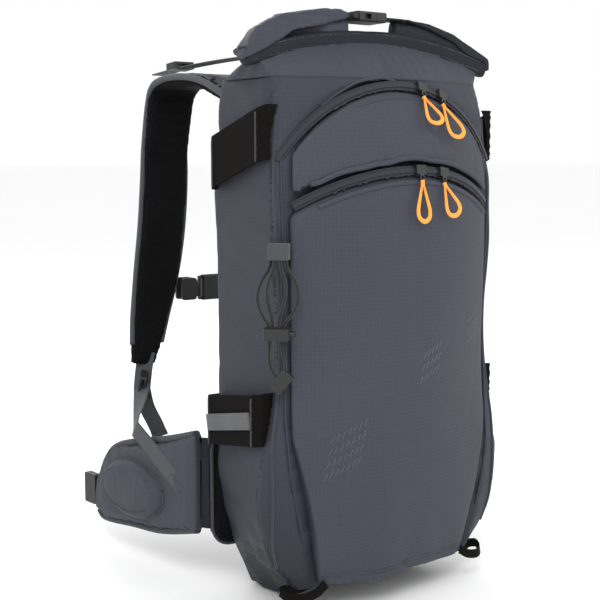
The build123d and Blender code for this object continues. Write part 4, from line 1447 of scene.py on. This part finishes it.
@dataclass
class ShoulderStrap:
    """A padded strap: mesh inside, shell cloth outside, bound edges."""

    side: Side
    spine: tuple[tuple[float, float], ...] = (
        (0.040, 0.460), (0.110, 0.484), (0.185, 0.483), (0.216, 0.450), (0.220, 0.404), (0.220, 0.330),
        (0.220, 0.250), (0.210, 0.196),
    )

    def build(self, finishes: Finishes) -> None:
        """Make the strap and its binding."""
        node = f"shoulder_strap_{self.side.word}"
        piece = puffed(f"{node}_pad", node, 2.6 * MM, 6, 3.0, 2.0 * MM)
        crumple(piece, 0.5 * MM, 18.0, (1, 1, 1), 71.0)
        box_uv(piece)
        dress(piece, finishes.mesh, "pack", "mesh", node)
        two_faced(piece, finishes.mesh, finishes.shell, lambda normal: normal.y + 0.8 * normal.z > 0.35)
        tree = tree_of(piece.name)
        spine = smooth_path([(0.0, y, z) for y, z in self.spine], 70)
        edges = []
        for word, start in (("outer", 0.3), ("inner", 0.0)):
            heading = np.array([-self.side.value if start else self.side.value, 0.0, 0.0])
            line = spine * np.array([0.0, 1.0, 1.0]) + np.array([self.side.value * start, 0.0, 0.0])
            hits, _ = cast_row(tree, line, heading)
            if len(hits) > 20:
                edges.append(tube(f"{node}_bind_{word}", smooth_path(hits[::4], 120), 3.4 * MM, 0.9))
        dress(join(f"{node}_binding", edges), finishes.webbing, "pack", "webbing")


@dataclass
class StrapWebbing:
    """Load lifters, adjusters, spare tails and the chest strap."""

    strap_x: float = 0.066

    def lifters(self, finishes: Finishes) -> None:
        """Webbing from the sack's top to the shoulder straps."""
        low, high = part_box("load_lifters")
        bands = []
        for side in Side:
            x = side.value * self.strap_x
            path = smooth_path([(x, low[1] + 0.5 * MM, high[2] - 3 * MM), (x, 0.10, high[2] - 3.5 * MM),
                                (x, 0.17, low[2] + 7 * MM), (x, high[1] - 1 * MM, low[2] + 3 * MM)], 40)
            bands.append(webbing(f"lifter_{side.word}", path, (1, 0, 0), 7.8 * MM))
        dress(join("load_lifter_webbing", bands), finishes.webbing, "pack", "webbing", "load_lifters")

    def adjuster(self, side: Side, finishes: Finishes) -> None:
        """Webbing from the strap's foot through its lock to the hip fin, with its loose tail."""
        node = f"adjuster_webbing_{side.word}"
        fin = HipFin(side)
        sign = -side.value

        def mirrored(point: Sequence[float]) -> np.ndarray:
            """A left-hand point moved to this side."""
            return np.array([point[0] * sign, point[1], point[2]])

        lock = mirrored((-0.104, 0.203, 0.164))
        bend = fin.place(0.096, 0.139, 0.0072)
        anchor = fin.place(0.020, 0.096, 0.0072)
        sag = lock * 0.5 + bend * 0.5 - np.array([0, 0, 4 * MM])
        above = smooth_path([lock, sag, bend], 30)
        below = smooth_path([bend, fin.place(0.058, 0.1185, 0.0074), anchor], 30)
        path = even_path(np.vstack([above, below[1:]]), 70)
        first = mirrored((0.80, -0.45, 0.40))
        last = fin.place(-0.51, 0.86, 0.0) - fin.place(0.0, 0.0, 0.0)
        shares = np.clip(np.linspace(0, 2.4, 70), 0, 1)[:, None]
        guide = unit(first * (1 - shares) + last * shares)
        section = band_section(9.4 * MM, 1.6 * MM)
        piece = loft(f"{node}_cloth", path, guide, lambda share, travel: section)
        piece.data.materials.append(finishes.webbing)
        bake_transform(piece)
        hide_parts(node)
        stub = smooth_path([
            mirrored((-0.094, 0.211, 0.200)), mirrored((-0.099, 0.208, 0.182)), lock,
            mirrored((-0.107, 0.198, 0.157))
        ], 24)
        foot = webbing(f"strap_foot_{side.word}", stub, first, 9.2 * MM)
        hang = [
            lock, mirrored((-0.098, 0.205, 0.142)), mirrored((-0.089, 0.203, 0.122)),
            mirrored((-0.083, 0.203, 0.108))
        ]
        tail = webbing(
            f"spare_tail_{side.word}", smooth_path(hang, 30), mirrored((0.75, -0.6, 0.2)), 8.6 * MM
        )
        end = webbing(f"tail_fold_end_{side.word}", smooth_path(
            [hang[-2] * 0.3 + hang[-1] * 0.7, hang[-1]], 8
        ),
                      mirrored((0.75, -0.6, 0.2)), 8.9 * MM, 3.2 * MM)
        dress(
            join(f"strap_foot_webbing_{side.word}", [foot, tail, end]), finishes.webbing, "pack", "webbing"
        )
        corners = ((0.016, 0.092), (0.034, 0.1025), (0.040, 0.0955), (0.022, 0.085), (0.016, 0.092))
        ring = np.array([fin.place(along, up + 0.004, 0.0085) for along, up in corners])
        outs = np.tile(fin.place(0, 0, 1.0) - fin.place(0, 0, 0.0), (40, 1))
        box = stitching(f"box_stitch_{side.word}", even_path(ring, 40), outs, 2.4 * MM)
        dress(box, finishes.thread, f"fin_{side.word}", "webbing")

    def chest(self, finishes: Finishes) -> None:
        """Both halves of the chest strap."""
        for side in Side:
            node = f"chest_webbing_{side.word}"
            low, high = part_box(node)
            y, z = (low[1] + high[1]) / 2, (low[2] + high[2]) / 2
            path = smooth_path(
                [(low[0], y, z), ((low[0] + high[0]) / 2, y + 0.3 * MM, z - 0.4 * MM), (high[0], y, z)], 16
            )
            band = webbing(f"{node}_cloth", path, (0, 0, 1), 9.6 * MM)
            dress(band, finishes.webbing, f"chest_{side.word}", "webbing", node)

    def build(self, finishes: Finishes) -> None:
        """Make them all."""
        self.lifters(finishes)
        for side in Side:
            self.adjuster(side, finishes)
        self.chest(finishes)


@dataclass
class HipFin:
    """A padded fin with bound rim, zipped pocket and belt webbing."""

    side: Side
    root: tuple[float, float] = (0.132, 0.034)
    splay: float = math.radians(7)
    pocket_at: tuple[float, float] = (0.098, 0.078)
    pocket_half: tuple[float, float] = (0.050, 0.028)
    zip_inset: float = 7 * MM
    outline: tuple[tuple[float, float], ...] = (
        (0.004, 0.149), (0.050, 0.136), (0.110, 0.122), (0.146, 0.108), (0.168, 0.078), (0.176, 0.050),
        (0.172, 0.036), (0.158, 0.032), (0.110, 0.037), (0.060, 0.042), (0.004, 0.056),
    )

    def place(self, along: float, up: float, out: float) -> np.ndarray:
        """A point given along, up and out from the fin's middle plane."""
        x = -self.root[0] - math.sin(self.splay) * along - math.cos(self.splay) * out
        y = self.root[1] + math.cos(self.splay) * along - math.sin(self.splay) * out
        return np.array([x * -self.side.value, y, up])

    def round_pocket(self, turn: float, inset: float, out: float) -> np.ndarray:
        """A point on the oval around the pocket, or inside it by an inset."""
        (along, up), (half_along, half_up) = self.pocket_at, self.pocket_half
        return self.place(
            along + (half_along - inset) * math.cos(turn), up + (half_up - inset) * math.sin(turn), out
        )

    def build(self, finishes: Finishes) -> None:
        """Make the fin, its pocket and its webbing."""
        body = f"fin_{self.side.word}"
        node = f"hip_fin_{self.side.word}"
        pad = puffed(f"{node}_pad", node, 2.4 * MM, 8, 3.5, 2.5 * MM)
        crumple(pad, 0.8 * MM, 22.0, (1, 1, 1), 81.0)
        box_uv(pad)
        dress(pad, finishes.shell, body, "shell_fabric", node)
        sign = self.side.value
        two_faced(pad, finishes.shell, finishes.mesh, lambda normal: normal.x * sign < -0.35)
        rim = smooth_path([self.place(a, b, 0.0) for a, b in self.outline], 160)
        dress(tube(f"{node}_binding", rim, 3.6 * MM, 1.2), finishes.binding, body, "webbing")
        second = smooth_path(
            [self.place(0.02 + a * 0.86, 0.09 + (b - 0.09) * 0.80, 0.0) for a, b in self.outline[3:]], 100
        )
        tree = tree_of(pad.name)
        outward = np.array([float(sign), 0.0, 0.0])
        row = stitching(f"{node}_row", *cast_row(tree, second + outward * 0.05, -outward), 3.2 * MM)
        dress(row, finishes.thread, body, "shell_fabric")
        self.pocket(body, finishes)
        self.hinge_cloth(finishes)
        belt = f"hip_webbing_{self.side.word}"
        low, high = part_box(belt)
        ends = (high[0] - 1 * MM, low[0] + 1 * MM)
        x_in, x_out = ends if sign < 0 else ends[::-1]
        z = (low[2] + high[2]) / 2
        path = smooth_path(
            [(x_in, low[1], z), ((x_in + x_out) / 2, (low[1] + high[1]) / 2, z), (x_out, high[1], z)], 16
        )
        dress(webbing(f"{belt}_cloth", path, (0, 0, 1), 12.2 * MM), finishes.webbing, body, "webbing", belt)

    def hinge_cloth(self, finishes: Finishes) -> None:
        """Padded cloth that joins the fin's root to the lumbar pad."""
        inner = np.array([0.112 * self.side.value, 0.0275, 0.100])
        outer = self.place(0.012, 0.102, 0.0)
        path = smooth_path([inner, inner * 0.5 + outer * 0.5 - np.array([0, 2 * MM, 0]), outer], 24)
        guide = np.tile(np.array([0.0, 0.0, 1.0]), (24, 1))
        shape = cushion_section(44 * MM, 8.0 * MM, 36, 3.4)
        piece = loft(f"fin_root_cloth_{self.side.word}", path, guide, lambda share, travel: shape)
        crumple(piece, 0.8 * MM, 40.0, (1, 1, 0.5), 87.0)
        box_uv(piece)
        # The dark base nylon here is painted shade where the fin's root meets the body.
        piece.data.materials.append(finishes.dark)
        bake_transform(piece)

    def pocket(self, body: str, finishes: Finishes) -> None:
        """The oval pocket: puffed cover, double binding and a curved zip."""
        node = f"hip_pocket_{self.side.word}"
        cover = puffed(f"{node}_cover", node, 1.6 * MM, 6, 3.5, 2.0 * MM)
        crumple(cover, 0.9 * MM, 30.0, (1, 1, 1), 91.0)
        box_uv(cover)
        dress(cover, finishes.shell, body, "shell_fabric", node)
        ring = [self.round_pocket(turn, 0.0, 7.5 * MM) for turn in np.linspace(0, math.tau, 49)]
        rim = smooth_path(ring[:-1] + [ring[0]], 160)
        dress(tube(f"{node}_rim", rim, 1.7 * MM), finishes.binding, body, "webbing")
        tree = tree_of(cover.name)
        outward = np.array([float(self.side.value), 0.0, 0.0])
        arc = [self.round_pocket(turn, self.zip_inset, 0.0) for turn in np.linspace(-2.5, 0.9, 60)]
        path, outs = cast_row(tree, np.array(arc) + outward * 0.06, -outward)
        dress(
            stitching(f"{node}_zip", path, outs, 1.4 * MM, 0.7 * MM, 0.2 * MM), finishes.coil, body,
            "zip_coil"
        )


@dataclass
class BackSide:
    """Back panel, lumbar pad and haul loop."""

    channel: float = 0.030
    rung_step: float = 0.060
    press: float = 4.0 * MM
    corner: float = 20.0 * MM

    def pad(self, name: str, node: str, finishes: Finishes, seed: float) -> None:
        """A foam pad under spacer mesh with pressed channels.

        Args:
            name: piece name.
            node: the CAD node it stands for.
            finishes: all finishes.
            seed: which folds.
        """
        piece = puffed(name, node, 2.6 * MM, 7, 4.0, 3.0 * MM)
        low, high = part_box(node)
        places, normals = points_of(piece), normals_of(piece)
        for index, (x, y, z) in enumerate(places):
            if normals[index][1] > 0.5:
                channel = math.exp(-((abs(x) - self.channel) / 0.006) ** 2)
                from_rung = (z - low[2]) % self.rung_step - self.rung_step / 2
                rung = math.exp(-(from_rung / 0.004) ** 2) if abs(x) > 0.036 else 0.0
                places[index][1] = y - self.press * max(channel, 0.7 * rung)
        set_points(piece, places)
        crumple(piece, 0.4 * MM, 20.0, (1, 1, 1), seed)
        box_uv(piece)
        dress(piece, finishes.mesh, "pack", "mesh", node)
        loop = []
        for cx, cz, begin in (
            (high[0], high[2], 0.0), (low[0], high[2], 90.0), (low[0], low[2], 180.0),
            (high[0], low[2], 270.0)
        ):
            mid_x = cx - math.copysign(self.corner, cx)
            mid_z = cz - self.corner if begin < 180 else cz + self.corner
            for angle in np.radians(np.linspace(begin, begin + 90.0, 7)):
                across, up = self.corner * math.cos(angle), self.corner * math.sin(angle)
                loop.append(np.array([mid_x + across, low[1] + 3.5 * MM, mid_z + up]))
        ring = even_path(np.array(loop + [loop[0]]), 240)
        dress(tube(f"{name}_piping", ring, 1.6 * MM), finishes.binding, "pack", "webbing")

    def build(self, finishes: Finishes) -> None:
        """Make the pads and the loop."""
        self.pad("back_pad", "back_panel", finishes, 101.0)
        self.pad("lumbar_cushion", "lumbar_pad", finishes, 103.0)
        loop = soft_copy("haul_webbing", "haul_loop", 0.9 * MM, 2, 0.1 * MM, 30.0, (1, 1, 1), 105.0)
        dress(loop, finishes.webbing, "pack", "webbing", "haul_loop")


@dataclass
class TieDown:
    """Elastic cord down the front corner, and its tab.

    The routes are in millimetres: along the corner's bevel, out from it, and up.
    """

    radius: float = 1.5 * MM
    corner: tuple[float, float] = (-125, -85)
    outer: tuple[tuple[float, float, float], ...] = (
        (-3, 6.5, 322), (-3, 6.5, 316), (-12, 5, 304), (-16, 4, 290), (-12, 5, 276), (-4, 6.5, 266),
        (-4, 6.5, 254), (-5, 6.5, 243), (-4, 6.5, 231), (1, 6.5, 223), (8, 6.5, 223), (10, 6.5, 232),
        (7, 6.5, 243), (6, 6.5, 254), (6, 6.5, 266), (15, 4, 276), (21, 2, 289), (18, 3, 304),
        (10, 6.5, 316), (10, 6.5, 322),
    )
    inner: tuple[tuple[float, float, float], ...] = (
        (0.6, 9, 322), (0.6, 9, 315), (-5, 10, 304), (-6, 10.2, 290), (-2, 10.2, 277), (-1, 10.2, 266),
        (1, 10.2, 261), (4, 10.2, 262), (4.5, 10.2, 268), (6, 10.2, 278), (10.5, 10.2, 291),
        (10.5, 10, 304), (5.8, 9, 315), (5.8, 9, 322),
    )

    def route(self, steps: Iterable[tuple[float, float, float]]) -> list[tuple[float, float, float]]:
        """Points given along the corner, out from it and up, in metres."""
        x, y = self.corner
        turn = math.sqrt(0.5)
        return [((x + turn * (a - o)) * MM, (y - turn * (a + o)) * MM, z * MM) for a, o, z in steps]

    def strand(
        self, name: str, node: str, steps: Iterable[tuple[float, float, float]],
        finishes: Finishes
    ) -> None:
        """One elastic cord as a smooth curve through its route.

        Args:
            name: piece name.
            node: the CAD node it stands for.
            steps: its route.
            finishes: all finishes.
        """
        places = self.route(steps)
        data = bpy.data.curves.new(name, "CURVE")
        data.dimensions = "3D"
        data.bevel_depth = self.radius
        data.bevel_resolution = 5
        data.resolution_u = 16
        line = data.splines.new("NURBS")
        line.points.add(len(places) - 1)
        for point, place in zip(line.points, places):
            point.co = (*place, 1.0)
        line.order_u = 3
        line.use_endpoint_u = True
        piece = bpy.data.objects.new(name, data)
        bpy.context.collection.objects.link(piece)
        data.materials.append(finishes.cord)
        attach(piece, "pack")
        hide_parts(node)

    def build(self, finishes: Finishes) -> None:
        """Make the cords and their tabs."""
        self.strand("outer_strand", "bungee_outer", self.outer, finishes)
        self.strand("inner_strand", "bungee_inner", self.inner, finishes)
        tab = soft_copy("corner_tab", "bungee_tab", 0.8 * MM, 2, 0.15 * MM, 40.0, (1, 1, 1), 111.0)
        dress(tab, finishes.webbing, "pack", "webbing", "bungee_tab")


@dataclass
class Pull:
    """One cord pull: a flat ring that widens away from its knot."""

    node: str
    lean: float
    wide: float
    tall: float
    outline: tuple[tuple[float, float], ...] = (
        (0.0, 0.0), (
            -0.14, 0.10
        ), (-0.55, 0.42), (-0.96, 0.78), (-0.80, 1.0), (0.0, 1.10), (0.80, 1.0), (0.96, 0.78),
        (0.55, 0.42), (0.14, 0.10), (0.0, 0.0),
    )

    def build(self, finishes: Finishes) -> None:
        """Make the ring and its knot."""
        low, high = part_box(self.node)
        top = np.array([(low[0] + high[0]) / 2, high[1] - 1.5 * MM, high[2] - 2.0 * MM])
        foot = np.array(
            [top[0] + self.lean, low[1] + 0.5 * MM, low[2] + (high[2] - low[2]) * (1 - self.tall)]
        )
        down = foot - top
        face = unit(np.cross(down, np.array([1.0, 0.0, 0.0])))
        side = unit(np.cross(face, down))
        path = smooth_path([top + side * a * self.wide + down * b for a, b in self.outline], 90)
        guide = np.cross(tangents(path), face)

        def section(share: float, travel: float) -> np.ndarray:
            """The ring's flat section, wider at its far end."""
            swell = math.sin(math.pi * share) ** 1.3
            return round_section(1.0, 14) * np.array([(1.0 + 1.15 * swell) * MM, 1.05 * MM])

        ring = loft(f"{self.node}_ring", path, guide, section)
        knot = tube(
            f"{self.node}_knot",
            smooth_path([top + down * -0.06, top + down * 0.05, top + down * 0.13], 12), 1.9 * MM
        )
        piece = join(f"{self.node}_loop", [ring, knot])
        dress(piece, finishes.orange, self.node, "orange_pull", self.node)


@dataclass
class AxeLoop:
    """A band loop at a lower corner, with the strap that holds it."""

    side: Side
    front: tuple[tuple[float, float, float], ...] = (
        (0.080, -0.096, 0.0330), (0.090, -0.0965, 0.0270), (0.104, -0.0940, 0.0240),
        (0.114, -0.087, 0.0250),
        (0.117, -0.079, 0.0280),
    )
    behind: tuple[tuple[float, float, float], ...] = (
        (0.117, -0.079, 0.0280), (0.112, -0.075, 0.0275), (0.102, -0.078, 0.0270), (0.092, -0.081, 0.0290),
        (0.084, -0.082, 0.0360),
    )

    def build(self, finishes: Finishes) -> None:
        """Make the loop and its holder."""
        node = f"axe_loop_{self.side.word}"
        sign = self.side.value
        bands = []
        for word, knots in (("front", self.front), ("behind", self.behind)):
            path = smooth_path([(sign * x, y, z) for x, y, z in knots], 40)
            bands.append(webbing(f"{node}_{word}", path, (0.0, 0.2, 1.0), 4.2 * MM, 1.5 * MM))
        dress(join(f"{node}_band", bands), finishes.elastic, "pack", "webbing", node)


@dataclass
class Hardware:
    """Moulded parts that keep their own shape and take a better finish."""

    plastic: tuple[str, ...] = (
        "top_buckle_socket", "top_buckle_plug", "chest_buckle_socket", "chest_buckle_plug",
        "chest_slider_left", "chest_slider_right", "hip_buckle_left", "hip_buckle_right",
        "strap_lock_left", "strap_lock_right", "lifter_locks", "cord_lock", "lock_button", "pull_tab",
        "upper_slider_left", "upper_slider_right", "lower_slider_left", "lower_slider_right",
    )

    def paint(self, node: str, material: bpy.types.Material) -> None:
        """Swap a node's material on every slot."""
        data = bpy.data.objects[node].data
        if not data.materials:
            data.materials.append(material)
        for index in range(len(data.materials)):
            data.materials[index] = material
        LOG.info("finish on %s", node)

    def build(self, finishes: Finishes) -> None:
        """Dress every carried-over part."""
        for node in self.plastic:
            self.paint(node, finishes.plastic)
        for node in ("upper_zip", "lower_zip"):
            self.paint(node, finishes.tape)
        self.paint("frame_sheet", finishes.sheet)


@dataclass
class Studio:
    """Pale floor, soft lights and the camera."""

    eye: tuple[float, float, float] = (-0.670, -0.899, 0.408)
    aim: tuple[float, float, float] = (-0.0437, -0.0044, 0.274)
    lens: float = 70.2

    def floor(self) -> None:
        """A wide pale sweep under the pack."""
        shader = Shader("pale_floor")
        grain = shader.grain(3.0)
        shader.finish(shader.blend_colour(grain, (0.95, 0.95, 0.95), (0.97, 0.97, 0.97)), 0.9, None, 0.0)
        deselect()
        bpy.ops.mesh.primitive_plane_add(size=90.0, location=(0, 0, -0.0006))
        piece = bpy.context.active_object
        bpy.ops.object.transform_apply(location=True, rotation=True, scale=True)
        piece.name = "pale_floor"
        piece.data.materials.append(shader.material)

    def lamp(self, name: str, place: tuple[float, float, float], size: float, watts: float) -> None:
        """A soft square light turned to the pack.

        Args:
            name: lamp name.
            place: where it stands.
            size: its edge.
            watts: its power.
        """
        data = bpy.data.lights.new(name, "AREA")
        data.shape = "SQUARE"
        data.size = size
        data.energy = watts
        item = bpy.data.objects.new(name, data)
        bpy.context.collection.objects.link(item)
        item.location = place
        item.rotation_euler = (Vector((0, 0, 0.25)) - Vector(place)).to_track_quat("-Z", "Y").to_euler()

    def build(self) -> None:
        """Set up the whole studio."""
        self.floor()
        self.lamp("key_light", (-1.5, -1.9, 2.3), 1.2, 40.0)
        self.lamp("fill_light", (1.9, -1.4, 1.4), 1.8, 12.0)
        self.lamp("rim_light", (0.3, 2.2, 2.0), 1.6, 20.0)
        world = bpy.data.worlds.new("studio")
        world.use_nodes = True
        world.node_tree.nodes["Background"].inputs[0].default_value = (1.0, 1.0, 1.0, 1.0)
        world.node_tree.nodes["Background"].inputs[1].default_value = 1.0
        scene = bpy.context.scene
        scene.world = world
        scene.view_settings.view_transform = "Standard"
        data = bpy.data.cameras.new("view")
        data.lens = self.lens
        data.sensor_width = 36.0
        camera = bpy.data.objects.new("view", data)
        bpy.context.collection.objects.link(camera)
        camera.location = self.eye
        camera.rotation_euler = (Vector(self.aim) - Vector(self.eye)).to_track_quat("-Z", "Y").to_euler()
        scene.camera = camera


def main() -> None:
    """Build every sub-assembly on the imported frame."""
    logging.basicConfig(level=logging.INFO, format="%(message)s")
    for leftover in list(bpy.data.objects):
        bpy.data.objects.remove(leftover)
    FRAME.update(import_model())
    bpy.context.view_layer.update()
    finishes = Finishes()
    Sack().build(finishes)
    Fronts().build(finishes)
    Zip("upper", "pack", "sack_cloth", "pocket_cloth", (-66.0, 46.0), 1.7 * MM).build(finishes)
    Zip("lower", "panel", "pocket_cloth", "panel_cloth", (-40.0, 38.0), 2.6 * MM).build(finishes)
    RollTop().build(finishes)
    for side in Side:
        SideSeam(side).build(finishes)
    for side in Side:
        SkiLoop("upper", side).build(finishes)
        SkiLoop("lower", side).build(finishes)
        ShoulderStrap(side).build(finishes)
        HipFin(side).build(finishes)
    LoopWebbing().build(finishes)
    StrapWebbing().build(finishes)
    BackSide().build(finishes)
    TieDown().build(finishes)
    for node, lean, wide, tall in (
        ("upper_pull_left", 0.004, 8.5 * MM, 0.80), ("upper_pull_right", 0.007, 8.8 * MM, 0.98),
        ("lower_pull_left", -0.001, 6.8 * MM, 1.10), ("lower_pull_right", 0.009, 7.8 * MM, 0.90),
    ):
        Pull(node, lean, wide, tall).build(finishes)
    for side in Side:
        AxeLoop(side).build(finishes)
    Hardware().build(finishes)
    Studio().build()


if __name__ == "__main__":
    main()
